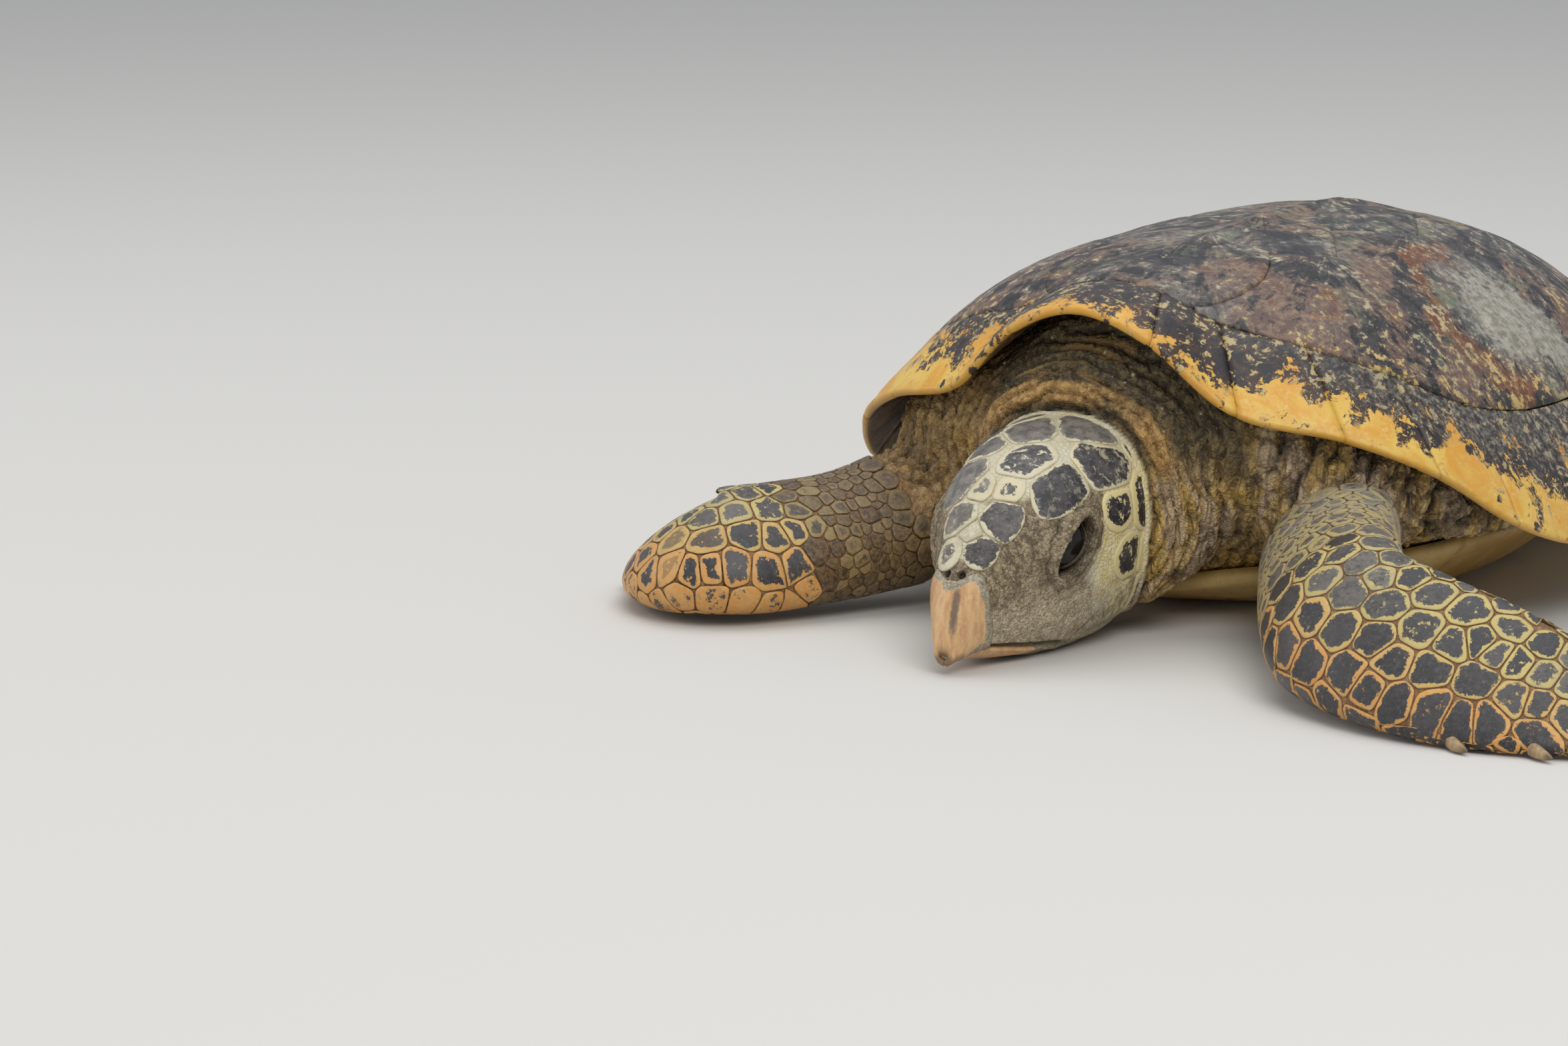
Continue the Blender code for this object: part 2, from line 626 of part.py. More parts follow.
def limb_frame(sections, position):
    """The centre, leading direction, depth direction, half-chord and half-depth."""
    rows = [(*at, *lead, chord, depth) for at, lead, chord, depth in sections]
    now = spline(rows, position)
    last = len(rows) - 1
    ahead = Vector(spline(rows, min(position + 0.1, last))[:3])
    behind = Vector(spline(rows, max(position - 0.1, 0))[:3])
    along = (ahead - behind).normalized()
    lead = Vector(now[3:6])
    lead = (lead - along * lead.dot(along)).normalized()
    return Vector(now[:3]), along, lead, lead.cross(along), now[6], now[7]


def limb_ring(sections, position, side, grow=0.0, count=12):
    """A leaf-shaped section, blunt at the leading edge and thin behind."""
    at, _, lead, deep, chord, depth = limb_frame(sections, position)
    flatness = min(max(1 - depth / chord, 0), 1)
    ring = []
    for index in range(count):
        turn = 2 * pi * index / count
        forward = cos(turn)
        thin = 1 - TRAILING_THIN * flatness * (0.5 - 0.5 * forward)
        point = (at + lead * (chord + grow) * forward
                 + deep * (depth + grow) * sin(turn) * thin)
        ring.append(on_floor(Vector((side * point.x, point.y, point.z))))
    return ring


def limb_mesh(name, sections, side, rows, grow=0.0):
    positions = steps(0, len(sections) - 1, rows)
    rings = [limb_ring(sections, position, side, grow) for position in positions]
    return loft(name, rings)


def claw(name, sections, position, side, group):
    """A small cone that leans out of a limb's leading edge towards its tip."""
    at, along, lead, _, chord, _ = limb_frame(sections, position)
    aim = (lead * CLAW_LEAN + along).normalized()
    aim = Vector((side * aim.x, aim.y, max(aim.z, -CLAW_DROP))).normalized()
    root = at + lead * (chord - CLAW_SINK)
    root = Vector((side * root.x, root.y, max(root.z, CLAW_RADIUS + GAP)))
    shape = bmesh.new()
    bmesh.ops.create_cone(shape, cap_ends=True, segments=8, radius1=CLAW_RADIUS,
                          radius2=CLAW_RADIUS * CLAW_TIP, depth=CLAW_LENGTH)
    lean = aim.to_track_quat("Z", "Y").to_matrix().to_4x4()
    place = Matrix.Translation(root + aim * CLAW_LENGTH / 2) @ lean
    bmesh.ops.transform(shape, matrix=place, verts=shape.verts)
    for corner in shape.verts:
        corner.co.z = max(corner.co.z, 0.0)
    mesh = bpy.data.meshes.new(name)
    shape.to_mesh(mesh)
    shape.free()
    return add_object(name, mesh, "horn", group)


def claw_space(made, cutters):
    """A cutter a little larger than a claw, so that the limb makes room for it."""
    mesh = made.data.copy()
    shape = bmesh.new()
    shape.from_mesh(mesh)
    middle = sum((corner.co for corner in shape.verts), Vector()) / len(shape.verts)
    bmesh.ops.scale(shape, vec=(CLAW_ROOM,) * 3, verts=shape.verts,
                    space=Matrix.Translation(-middle))
    shape.to_mesh(mesh)
    shape.free()
    return add_cutter(f"{made.name} space", mesh, cutters)


def limb(name, sections, side, rows, claws, group, cutters, spaces):
    made = add_object(name, limb_mesh(name, sections, side, rows), "skin", group)
    for space in spaces:
        cut(made, space)
    for number, position in enumerate(claws, 1):
        nail = claw(f"claw_{name}_{number}", sections, position, side, group)
        cut(made, claw_space(nail, cutters))


def main():
    clear_scene()
    turtle = collection("Hawksbill turtle")
    cutters = collection("Cutters")
    vertebrals(turtle)
    costals(turtle)
    marginals(turtle)
    add_object("plastron", plastron_mesh("plastron", 0.0), "belly", turtle)
    shell_space = shell_cutter(cutters)
    belly_space = add_cutter("belly space", plastron_mesh("belly space", GAP), cutters)
    add_object("trunk", trunk_mesh("trunk", 0.0), "skin", turtle)
    trunk_space = add_cutter("trunk space", trunk_mesh("trunk space", GAP), cutters)
    neck = add_object("neck", neck_mesh("neck"), "skin", turtle)
    neck_space = add_cutter("neck space", neck_mesh("neck space", GAP), cutters)
    body_spaces = [shell_space, trunk_space, belly_space]
    for space in body_spaces:
        cut(neck, space)
    head(turtle, cutters, neck_space)
    limb("front_flipper_left", LEFT_ARM + LEFT_BLADE, 1, 18, ARM_CLAWS, turtle, cutters,
         body_spaces + [neck_space])
    limb("front_flipper_right", RIGHT_ARM + RIGHT_BLADE, -1, 18, ARM_CLAWS, turtle, cutters,
         body_spaces + [neck_space])
    tail_space = add_cutter("tail space", limb_mesh("tail space", TAIL, 1, 5, GAP), cutters)
    for label, side in (("left", 1), ("right", -1)):
        limb(f"hind_flipper_{label}", LEG, side, 10, LEG_CLAWS, turtle, cutters,
             body_spaces + [tail_space])
    tail = add_object("tail", limb_mesh("tail", TAIL, 1, 5), "skin", turtle)
    for space in body_spaces:
        cut(tail, space)


main()
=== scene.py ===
"""Looks of the life-size hawksbill turtle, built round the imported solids.

The turtle faces -Y with its left side at +X and rests on the floor at z = 0. One skin
covers head, neck, body, limbs and tail. Scales, scutes, horn, claws and eyes are pieces
of their own on it. All lengths are in metres.
"""
from copy import copy
from math import atan2, cos, pi, radians, sin, sqrt

import bmesh
import bpy
from bpy.props import FloatProperty, FloatVectorProperty, PointerProperty
from mathutils import Matrix, Vector, noise
from mathutils.bvhtree import BVHTree
from mathutils.kdtree import KDTree


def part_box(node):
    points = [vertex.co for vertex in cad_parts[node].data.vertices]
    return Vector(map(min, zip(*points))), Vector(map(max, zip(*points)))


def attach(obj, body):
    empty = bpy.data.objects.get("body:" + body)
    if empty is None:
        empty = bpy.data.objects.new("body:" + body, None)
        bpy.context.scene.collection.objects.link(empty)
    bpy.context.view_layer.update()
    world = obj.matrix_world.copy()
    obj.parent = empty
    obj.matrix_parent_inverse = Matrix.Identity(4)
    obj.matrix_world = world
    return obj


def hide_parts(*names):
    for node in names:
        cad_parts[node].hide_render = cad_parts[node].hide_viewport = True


bl_info = {
    "name": "Hawksbill Turtle",
    "version": (1, 0, 0),
    "blender": (4, 5, 0),
    "location": "3D View > Sidebar > Turtle",
    "description": "Gives the packed turtle its skin, scales, scutes, horn and stage",
    "category": "Object",
}

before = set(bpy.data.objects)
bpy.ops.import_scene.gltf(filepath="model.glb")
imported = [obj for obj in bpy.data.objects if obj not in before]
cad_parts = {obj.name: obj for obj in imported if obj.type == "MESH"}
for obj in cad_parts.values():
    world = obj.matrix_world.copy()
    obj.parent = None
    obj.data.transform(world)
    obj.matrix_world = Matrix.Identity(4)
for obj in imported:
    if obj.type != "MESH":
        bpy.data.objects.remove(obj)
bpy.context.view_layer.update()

# ---------------------------------------------------------------- the turtle's sizes

# Where each marginal seam meets the rim on the left side: (x, y, z).
RIM = [(0.000, -0.361, 0.245), (0.058, -0.357, 0.226), (0.118, -0.341, 0.178),
       (0.188, -0.310, 0.161), (0.243, -0.266, 0.133), (0.278, -0.205, 0.090),
       (0.294, -0.125, 0.062), (0.297, -0.030, 0.053), (0.286, 0.070, 0.052),
       (0.260, 0.165, 0.057), (0.218, 0.250, 0.064), (0.160, 0.325, 0.071),
       (0.085, 0.381, 0.075), (0.000, 0.402, 0.073)]
LAST = len(RIM) - 1
SIDES = (("left", 1), ("right", -1))
SEAM_K = 0.0024             # half a seam between two scutes, in marginal seams
SEAM_U = 0.0010             # half a seam along the back, as a share of the half-width
OVERLAP_K = 0.035           # how far a scute's rear edge reaches over the next one
OVERLAP_STEP = 0.0009       # how high it stands there
PLATE = 0.005
RIM_PLATE = 0.014
RIM_EDGE = 0.007
RIM_THICKENS = (7.0, 9.5)   # the marginal seams between which the rim grows full again
RIM_REACH = 0.0112
RIM_WIDTH = 0.055
RIM_TURN = 0.985
SERRATION = 0.013
TEETH = (6, 10)             # the marginal seams where the rim's teeth begin and are full
KEEL_SHARE = 0.62
CREST = 0.278
CREST_Y = -0.005
KEEL_FALL = (0.25, 0.95)    # how fast the keel falls in front and behind
DOME_POWER = (2.4, 3.0)     # roundness of the dome across, behind and in front
DOME_ROOT = (0.78, 1.15)
FLARE = (4.0, 7.5)
STRAIGHT_MOST = 0.8
KEEL_RIDGE = 0.004
RIDGE_WIDTH = 0.016
RIDGE_FULL = 2.0            # the marginal seam from which the ridge has its full height
VERTEBRAL_EDGE = [(4, 0.25), (5, 0.36), (6, 0.20), (7, 0.34), (8, 0.21), (9, 0.36),
                  (10, 0.28), (11, 0.58)]
VERTEBRAL_TIPS = (1.5, 11.8)
VERTEBRAL_SEAMS = [0, 4, 6, 8, 10, 13]
COSTAL_SEAMS = [1.5, 5, 7, 9, 11.8]
COSTAL_TIP = 0.14
PLASTRON_WIDTH = 0.66
PLASTRON_LENGTH = 0.76
PLASTRON_PLATE = 0.012
PLASTRON_FLAT = 0.60
PLASTRON_SEAMS = [-0.215, -0.120, -0.010, 0.085, 0.190]
BRIDGE_RISE = 0.030
END_RISE = 0.018
SKIRT_END = 0.93
SKIRT_NAPE = 0.35
SKIRT_REAR_LOSS = 0.45
SKIRT_BULGE = 0.020
CHEST_BULGE = 0.030
SHOULDER_BULGE = 0.034      # how far the skin swells round the shoulders
SHOULDER_RISE = (1.8, 3.2)
SHOULDER_FALL = (5.4, 7.0)
BODY_TUCK = 0.035
UNDER_PLATES = 0.0015       # from the plates of the back down to the skin
UNDER_RIM = 0.003
OVER_BELLY = 0.0006

HEAD_AT = Vector((-0.012, -0.431, 0.089))
HEAD_FRAME = (Matrix.Translation(HEAD_AT) @ Matrix.Rotation(radians(2), 4, "Z")
              @ Matrix.Rotation(radians(10), 4, "X"))
HEAD_POWER = 2.3
HEAD_WIDEST = 0.58
# Sections of the head: (forward, half-width, top, bottom), measured from HEAD_AT.
HEAD = [(-0.138, 0.044, 0.028, -0.064), (-0.118, 0.060, 0.050, -0.084),
        (-0.090, 0.0680, 0.058, -0.098), (-0.055, 0.0690, 0.0605, -0.102),
        (-0.022, 0.0645, 0.0570, -0.099), (0.008, 0.0570, 0.0500, -0.094),
        (0.034, 0.0460, 0.0365, -0.086), (0.056, 0.0345, 0.0235, -0.077),
        (0.074, 0.0260, 0.0110, -0.070), (0.089, 0.0190, -0.004, -0.065),
        (0.102, 0.0120, -0.026, -0.062), (0.111, 0.0060, -0.048, -0.062)]
EYE_SIZE = (0.0195, 0.0140, 0.0160)     # half its length, half its width, its depth
EYE_SLOT = (0.0545, 0.0100, -0.0045)    # the slit's middle: across, forward and up
EYE_SINK = 0.0118                       # the eyeball's middle lies this deep
SLIT = (0.0236, 0.0108)                 # half the length and half the width of the slit
SLIT_DEPTH = 0.0085
LIDS = (0.034, 0.023)                   # half the length and half the width of the lids
LID_BULGE = 0.0062
LID_CELLS = (0.040, 0.027, 0.024)       # from the eye to where the skin gets finer
NOSTRIL = (0.0058, 0.0870, -0.0035)     # across, forward and up from HEAD_AT
NECK_POWER = 2.2
NECK_AXIS = (-0.012, 0.095)             # the middle of its folds, in x and z
# Sections of the neck: (centre, half-width, half-height).
NECK = [((0.000, -0.215, 0.125), 0.085, 0.072), ((-0.002, -0.255, 0.124), 0.096, 0.088),
        ((-0.004, -0.290, 0.122), 0.103, 0.098), ((-0.006, -0.318, 0.117), 0.100, 0.103),
        ((-0.008, -0.340, 0.110), 0.089, 0.099), ((-0.010, -0.354, 0.104), 0.073, 0.085)]
# Sections of a limb: (centre, direction of its leading edge, half-chord, half-depth).
LEFT_FLIPPER = [((0.150, -0.235, 0.082), (-0.45, -0.30, -0.75), 0.060, 0.048),
                ((0.170, -0.290, 0.075), (-0.50, -0.30, -0.73), 0.059, 0.046),
                ((0.200, -0.350, 0.069), (-0.55, -0.32, -0.73), 0.059, 0.044),
                ((0.234, -0.412, 0.065), (-0.52, -0.42, -0.73), 0.060, 0.041),
                ((0.268, -0.460, 0.059), (-0.34, -0.58, -0.72), 0.061, 0.036),
                ((0.325, -0.489, 0.052), (-0.08, -0.70, -0.70), 0.062, 0.026),
                ((0.385, -0.497, 0.043), (0.02, -0.73, -0.66), 0.060, 0.018),
                ((0.440, -0.494, 0.034), (0.10, -0.78, -0.60), 0.051, 0.0125),
                ((0.488, -0.482, 0.021), (0.20, -0.84, -0.48), 0.035, 0.0085),
                ((0.520, -0.468, 0.010), (0.30, -0.88, -0.35), 0.012, 0.0045)]
RIGHT_FLIPPER = [((0.150, -0.235, 0.080), (-0.45, -0.30, -0.75), 0.060, 0.046),
                 ((0.170, -0.290, 0.068), (-0.50, -0.40, -0.65), 0.058, 0.043),
                 ((0.197, -0.348, 0.056), (-0.52, -0.55, -0.55), 0.056, 0.038),
                 ((0.226, -0.404, 0.052), (-0.45, -0.68, -0.52), 0.058, 0.035),
                 ((0.256, -0.446, 0.050), (-0.20, -0.80, -0.55), 0.058, 0.033),
                 ((0.290, -0.436, 0.046), (0.40, -0.72, -0.55), 0.057, 0.028),
                 ((0.322, -0.392, 0.039), (0.72, -0.40, -0.54), 0.054, 0.020),
                 ((0.342, -0.338, 0.029), (0.80, -0.18, -0.50), 0.047, 0.013),
                 ((0.358, -0.282, 0.019), (0.88, -0.04, -0.42), 0.034, 0.0085),
                 ((0.366, -0.243, 0.010), (0.92, 0.05, -0.33), 0.012, 0.0045)]
LEG = [((0.095, 0.205, 0.052), (0.75, -0.45, -0.22), 0.050, 0.032),
       ((0.145, 0.270, 0.038), (0.80, -0.50, -0.20), 0.050, 0.024),
       ((0.190, 0.325, 0.027), (0.82, -0.52, -0.16), 0.053, 0.018),
       ((0.227, 0.372, 0.018), (0.82, -0.54, -0.10), 0.055, 0.012),
       ((0.252, 0.408, 0.010), (0.80, -0.56, -0.05), 0.043, 0.0075),
       ((0.268, 0.434, 0.007), (0.80, -0.56, -0.03), 0.014, 0.0040)]
TAIL = [((0.0, 0.250, 0.048), (0, 0, -1), 0.034, 0.040),
        ((0.0, 0.310, 0.035), (0, 0, -1), 0.028, 0.032),
        ((0.0, 0.370, 0.022), (0, 0, -1), 0.020, 0.021),
        ((0.0, 0.418, 0.010), (0, 0, -1), 0.009, 0.008)]
TRAILING_THIN = 0.45

SKIN_DEPTH = 0.0010         # how far the skin lies inside the solids
SKIN_CELL = 0.0042          # size of the skin's mesh before it is refined
SHIELD_SEAM = 0.0012        # the gap between two shields of the head
WELD = 1e-6                 # points nearer than this are one
LIMBS = {"front_flipper_left": (LEFT_FLIPPER, 1), "front_flipper_right": (RIGHT_FLIPPER, -1),
         "hind_flipper_left": (LEG, 1), "hind_flipper_right": (LEG, -1)}


# ---------------------------------------------------------------- small helpers

def clamp(value, low=0.0, high=1.0):
    return min(max(value, low), high)


def smooth(low, high, value):
    """A smooth step from 0 at low to 1 at high."""
    share = clamp((value - low) / (high - low))
    return share * share * (3 - 2 * share)


def blend(first, second, share):
    return first + (second - first) * share


def steps(start, stop, count):
    return [start + (stop - start) * index / count for index in range(count + 1)]


def spline(table, position):
    """Read a smooth curve through equally spaced rows of numbers."""
    start = min(max(int(position), 0), len(table) - 2)
    t = position - start
    rows = [table[min(max(start + step, 0), len(table) - 1)] for step in (-1, 0, 1, 2)]
    return [0.5 * (2 * b + (c - a) * t + (2 * a - 5 * b + 4 * c - d) * t ** 2
                   + (3 * b - a - 3 * c + d) * t ** 3) for a, b, c, d in zip(*rows)]


def rough(point, size, depth=3):
    """Soft noise of about -1 to 1 with lumps of the given size."""
    return noise.fractal(Vector(point) / size, 0.9, 2.1, depth)


def chance(*key):
    """A repeatable number from 0 to 1 for a key."""
    return noise.cell(Vector([37.1 * value + 5.3 for value in (list(key) + [0, 0])[:3]]))


def wrinkle(value):
    """Narrow valleys between rounded ridges: 1 in the valley at each whole number."""
    return 1 - abs(sin(pi * value)) ** 0.55


def round_power(value, power):
    return (abs(value) ** (2 / power)) * (1 if value >= 0 else -1)


def on_floor(point, floor=0.0):
    return Vector((point.x, point.y, max(point.z, floor)))


def mirror(point, side):
    return Vector((side * point.x, point.y, point.z))


def neighbours(ring):
    return zip(ring, ring[1:] + ring[:1])


def between(first, second, share):
    return blend(first[0], second[0], share), blend(first[1], second[1], share)


def full_turn(count):
    """Equal turns once round."""
    return [2 * pi * index / count for index in range(count)]


def grid_faces(rows, columns, base=0, around=False):
    faces = []
    for row in range(rows - 1):
        for column in range(columns if around else columns - 1):
            beside = (column + 1) % columns
            corner = base + row * columns
            faces.append((corner + column, corner + beside, corner + columns + beside,
                          corner + columns + column))
    return faces


def closed_rings(rings):
    """The points and faces of a closed body through a row of closed rings."""
    size = len(rings[0])
    points = [point for ring in rings for point in ring]
    faces = grid_faces(len(rings), size, around=True)
    for row in (0, len(rings) - 1):
        points.append(sum(rings[row], Vector()) / size)
        faces += [(row * size + column, row * size + (column + 1) % size, len(points) - 1)
                  for column in range(size)]
    return points, faces


def add_rings(points, faces, rings):
    """Add a closed body through rings to points and faces; return where it begins."""
    more, new_faces = closed_rings(rings)
    base = len(points)
    points += more
    faces += [tuple(base + index for index in face) for face in new_faces]
    return base


def mend(mesh, weld=0.0):
    """Weld points that fall together and turn all faces outward."""
    shape = bmesh.new()
    shape.from_mesh(mesh)
    if weld:
        bmesh.ops.remove_doubles(shape, verts=shape.verts, dist=weld)
    bmesh.ops.recalc_face_normals(shape, faces=shape.faces)
    shape.to_mesh(mesh)
    shape.free()


def link(name, data):
    """A new object in the scene."""
    made = bpy.data.objects.new(name, data)
    bpy.context.scene.collection.objects.link(made)
    return made


def dress(name, mesh, material, slot, replaced, values, places=None):
    """Make a mesh a piece of the turtle, with its values and its map for baking."""
    mesh.shade_smooth()
    made = link(name, mesh)
    mesh.materials.append(material)
    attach(made, "root")
    if replaced:
        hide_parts(*replaced)
    for key, column in values.items():
        layer = mesh.attributes.new(key, "FLOAT", "POINT")
        layer.data.foreach_set("value", column)
    if places:
        layer = mesh.uv_layers.new(name="OFBake")
        for corner, loop in enumerate(mesh.loops):
            layer.data[corner].uv = places[loop.vertex_index]
    return made


def add_piece(name, points, faces, *looks):
    """Make a piece of the turtle from its points and faces, turned outward."""
    mesh = bpy.data.meshes.new(name)
    mesh.from_pydata([tuple(point) for point in points], [], faces)
    mend(mesh)
    return dress(name, mesh, *looks)


# ---------------------------------------------------------------- shapes of the body

def rim(k):
    """The rim at seam number k. The table goes on past both ends by symmetry."""
    mirrored = [tuple([-RIM[1][0]] + list(RIM[1][1:]))] + RIM
    mirrored.append(tuple([-RIM[-2][0]] + list(RIM[-2][1:])))
    return Vector(spline(mirrored, k + 1))


def keel_height(y):
    fall = KEEL_FALL[0] if y < CREST_Y else KEEL_FALL[1]
    return CREST - fall * (y - CREST_Y) ** 2


def dome_point(u, k, side):
    """A point of the dome. It leaves the keel with the keel's own slope."""
    edge = rim(k)
    x = u * edge.x
    y = (KEEL_SHARE + (1 - KEEL_SHARE) * u) * edge.y
    keel_y = KEEL_SHARE * edge.y
    height = keel_height(keel_y) - edge.z
    slope = (keel_height(keel_y + 0.001) - keel_height(keel_y - 0.001)) / 0.002
    straight = clamp(slope * (keel_y - edge.y) / height, 0, STRAIGHT_MOST)
    flare = clamp((FLARE[1] - k) / (FLARE[1] - FLARE[0]))
    round_fall = 1 - max(1 - u ** blend(*DOME_POWER, flare), 0) ** blend(*DOME_ROOT, flare)
    z = edge.z + height * (1 - straight * u - (1 - straight) * round_fall)
    ridge = KEEL_RIDGE * clamp(k / RIDGE_FULL) * max(1 - (x / RIDGE_WIDTH) ** 2, 0) ** 2
    return Vector((side * x, y, z + ridge))


def dome_frame(u, k, side):
    """The point, the outward normal and the outward slope of the dome."""
    point = dome_point(u, k, side)
    reach = 0.01 if u < 0.98 else -0.01
    outward = (dome_point(u + reach, k, side) - point) * (1 if reach > 0 else -1)
    u_turn = max(u, 0.05)
    ahead = dome_point(u_turn, k + 0.05, side)
    behind = dome_point(u_turn, k - 0.05, side)
    normal = outward.cross(ahead - behind).normalized()
    if normal.z < 0:
        normal.negate()
    if u == 0 or k in (0, LAST):
        normal = Vector((0, normal.y, normal.z)).normalized()
    return point, normal, outward.normalized()


def dome(u, k, side, lift):
    point, normal, _ = dome_frame(u, k, side)
    return point + normal * lift


def rim_inner(k):
    """The share u at which the marginal scutes begin."""
    edge = rim(k)
    return 1 - RIM_WIDTH / Vector((edge.x, (1 - KEEL_SHARE) * edge.y)).length


def vertebral_edge(k):
    inner = rim_inner(k)
    first, last = VERTEBRAL_TIPS
    corners = [(first, inner)] + VERTEBRAL_EDGE + [(last, inner)]
    for (k0, u0), (k1, u1) in zip(corners, corners[1:]):
        if k0 <= k <= k1:
            return u0 + (u1 - u0) * (k - k0) / (k1 - k0)
    return inner


def plastron_point(r, k, side):
    edge = rim(k)
    lift = BRIDGE_RISE * sin(pi * min(k / LAST, 1)) + END_RISE
    turned = clamp((r - PLASTRON_FLAT) / (1 - PLASTRON_FLAT))
    return Vector((side * r * PLASTRON_WIDTH * edge.x, r * PLASTRON_LENGTH * edge.y,
                   lift * turned ** 2))


def around(step):
    """Every (k, side) once round the shell, from the nape along the left side."""
    count = round(LAST / step)
    left = [(step * index, 1) for index in range(count + 1)]
    return left + [(step * index, -1) for index in range(count - 1, 0, -1)]


def skirt_share(k):
    ahead = SKIRT_NAPE + (1 - SKIRT_NAPE) * clamp(k / 2.2)
    return ahead - SKIRT_REAR_LOSS * clamp((k - 7) / 3)


def shoulder_share(k):
    """How much the skin swells round the shoulders at seam number k."""
    rise = clamp((k - SHOULDER_RISE[0]) / (SHOULDER_RISE[1] - SHOULDER_RISE[0]))
    return rise * clamp((SHOULDER_FALL[1] - k) / (SHOULDER_FALL[1] - SHOULDER_FALL[0]))


def trunk_rings():
    """The body between the scutes and the plastron."""
    turns = around(LAST / 52)
    grow = -SKIN_DEPTH
    sink = -(PLATE + UNDER_PLATES) + grow
    under = -(RIM_PLATE + UNDER_RIM) + grow
    floor = Vector((0, 0, PLASTRON_PLATE + OVER_BELLY - grow))
    upper = [(share, sink) for share in (0.15, 0.3, 0.45, 0.6, 0.72, 0.85, 1.0)]
    rings = [[dome(share * (rim_inner(k) - BODY_TUCK) + 4 * grow, k, side, lift)
              for k, side in turns] for share, lift in (*upper, (1.0, under))]
    high = []
    low = []
    for k, side in turns:
        inner = rim_inner(k)
        share = inner + (SKIRT_END - inner) * skirt_share(k) + 4 * grow
        high.append(dome(share, k, side, under))
        low.append(plastron_point(0.99 + 6 * grow, k, side) + floor)
    rings.append(high)
    for turn, swell_share, shoulder in ((0.3, 0.84, 0.55), (0.5, 0.9, 0.8),
                                        (0.7, 0.84, 1.0)):
        ring = []
        for (k, side), top, bottom in zip(turns, high, low):
            outward = Vector((bottom.x, bottom.y, 0)).normalized()
            swell = SKIRT_BULGE * skirt_share(k) + CHEST_BULGE * max(1 - k / 4, 0) + grow
            swell = swell * swell_share + SHOULDER_BULGE * shoulder_share(k) * shoulder
            ring.append(top.lerp(bottom, turn) + outward * swell)
        rings.append(ring)
    rings.append(low)
    for r in (0.8, PLASTRON_FLAT, PLASTRON_FLAT / 2):
        rings.append([plastron_point(r, k, side) + floor for k, side in turns])
    return rings


def head_place(across, forward, up):
    return HEAD_FRAME @ Vector((across, -forward, up))


def head_point(position, turn, grow=0.0):
    """A point of the head: turn runs from the crown over the left cheek."""
    forward, width, top, bottom = spline(HEAD, position)
    middle = bottom + HEAD_WIDEST * (top - bottom)
    across = (width + grow) * round_power(sin(turn), HEAD_POWER)
    rise = round_power(cos(turn), HEAD_POWER)
    reach = (top - middle) if rise > 0 else (middle - bottom)
    return on_floor(head_place(across, forward, middle + rise * (reach + grow)))


def neck_point(position, turn, grow=0.0):
    x, y, z, width, height = spline([(*at, w, h) for at, w, h in NECK], position)
    across = (width + grow) * round_power(sin(turn), NECK_POWER)
    rise = (height + grow) * round_power(cos(turn), NECK_POWER)
    return on_floor(Vector((x + across, y, z + rise)))


def limb_frame(sections, position):
    """The centre, leading direction, depth direction, half-chord and half-depth."""
    rows = [(*at, *lead, chord, depth) for at, lead, chord, depth in sections]
    now = spline(rows, position)
    last = len(rows) - 1
    ahead = Vector(spline(rows, min(position + 0.1, last))[:3])
    behind = Vector(spline(rows, max(position - 0.1, 0))[:3])
    along = (ahead - behind).normalized()
    lead = Vector(now[3:6])
    lead = (lead - along * lead.dot(along)).normalized()
    return Vector(now[:3]), along, lead, lead.cross(along), now[6], now[7]


def limb_ring(sections, position, side, turns, grow=0.0):
    """Points of a leaf-shaped section, blunt at the leading edge and thin behind."""
    at, _, lead, deep, chord, depth = limb_frame(sections, position)
    flatness = clamp(1 - depth / chord)
    ring = []
    for turn in turns:
        thin = 1 - TRAILING_THIN * flatness * (0.5 - 0.5 * cos(turn))
        point = (at + lead * (chord + grow) * cos(turn)
                 + deep * (depth + grow) * sin(turn) * thin)
        ring.append(on_floor(mirror(point, side)))
    return ring


def limb_rings(sections, side, rows, count, grow=0.0):
    turns = full_turn(count)
    return [limb_ring(sections, position, side, turns, grow)
            for position in steps(0, len(sections) - 1, rows)]


def skin_rings(point_at, sections, rows, count):
    """Rings of the skin along the head or the neck."""
    turns = full_turn(count)
    return [[point_at(position, turn, -SKIN_DEPTH) for turn in turns]
            for position in steps(0, len(sections) - 1, rows)]


# ---------------------------------------------------------------- shader writing

class Value:
    """A number socket in a material: each operator adds its Math node."""

    def __init__(self, look, socket):
        self.look = look
        self.socket = socket

    def math(self, operation, *others):
        made = self.look.node("Math", {"operation": operation},
                              **{str(index): other for index, other in enumerate(others)})
        return Value(self.look, made.outputs[0])

    def __add__(self, other):
        return self.math("ADD", self, other)

    __radd__ = __add__

    def __sub__(self, other):
        return self.math("SUBTRACT", self, other)

    def __rsub__(self, other):
        return self.math("SUBTRACT", other, self)

    def __mul__(self, other):
        return self.math("MULTIPLY", self, other)

    __rmul__ = __mul__

    def least(self, other):
        return self.math("MINIMUM", self, other)

    def most(self, other):
        return self.math("MAXIMUM", self, other)

    def step(self, low, high):
        """A smooth step from 0 at low to 1 at high."""
        made = self.look.node("MapRange", {"interpolation_type": "SMOOTHSTEP"}, Value=self,
                              **{"From Min": low, "From Max": high})
        return Value(self.look, made.outputs["Result"])


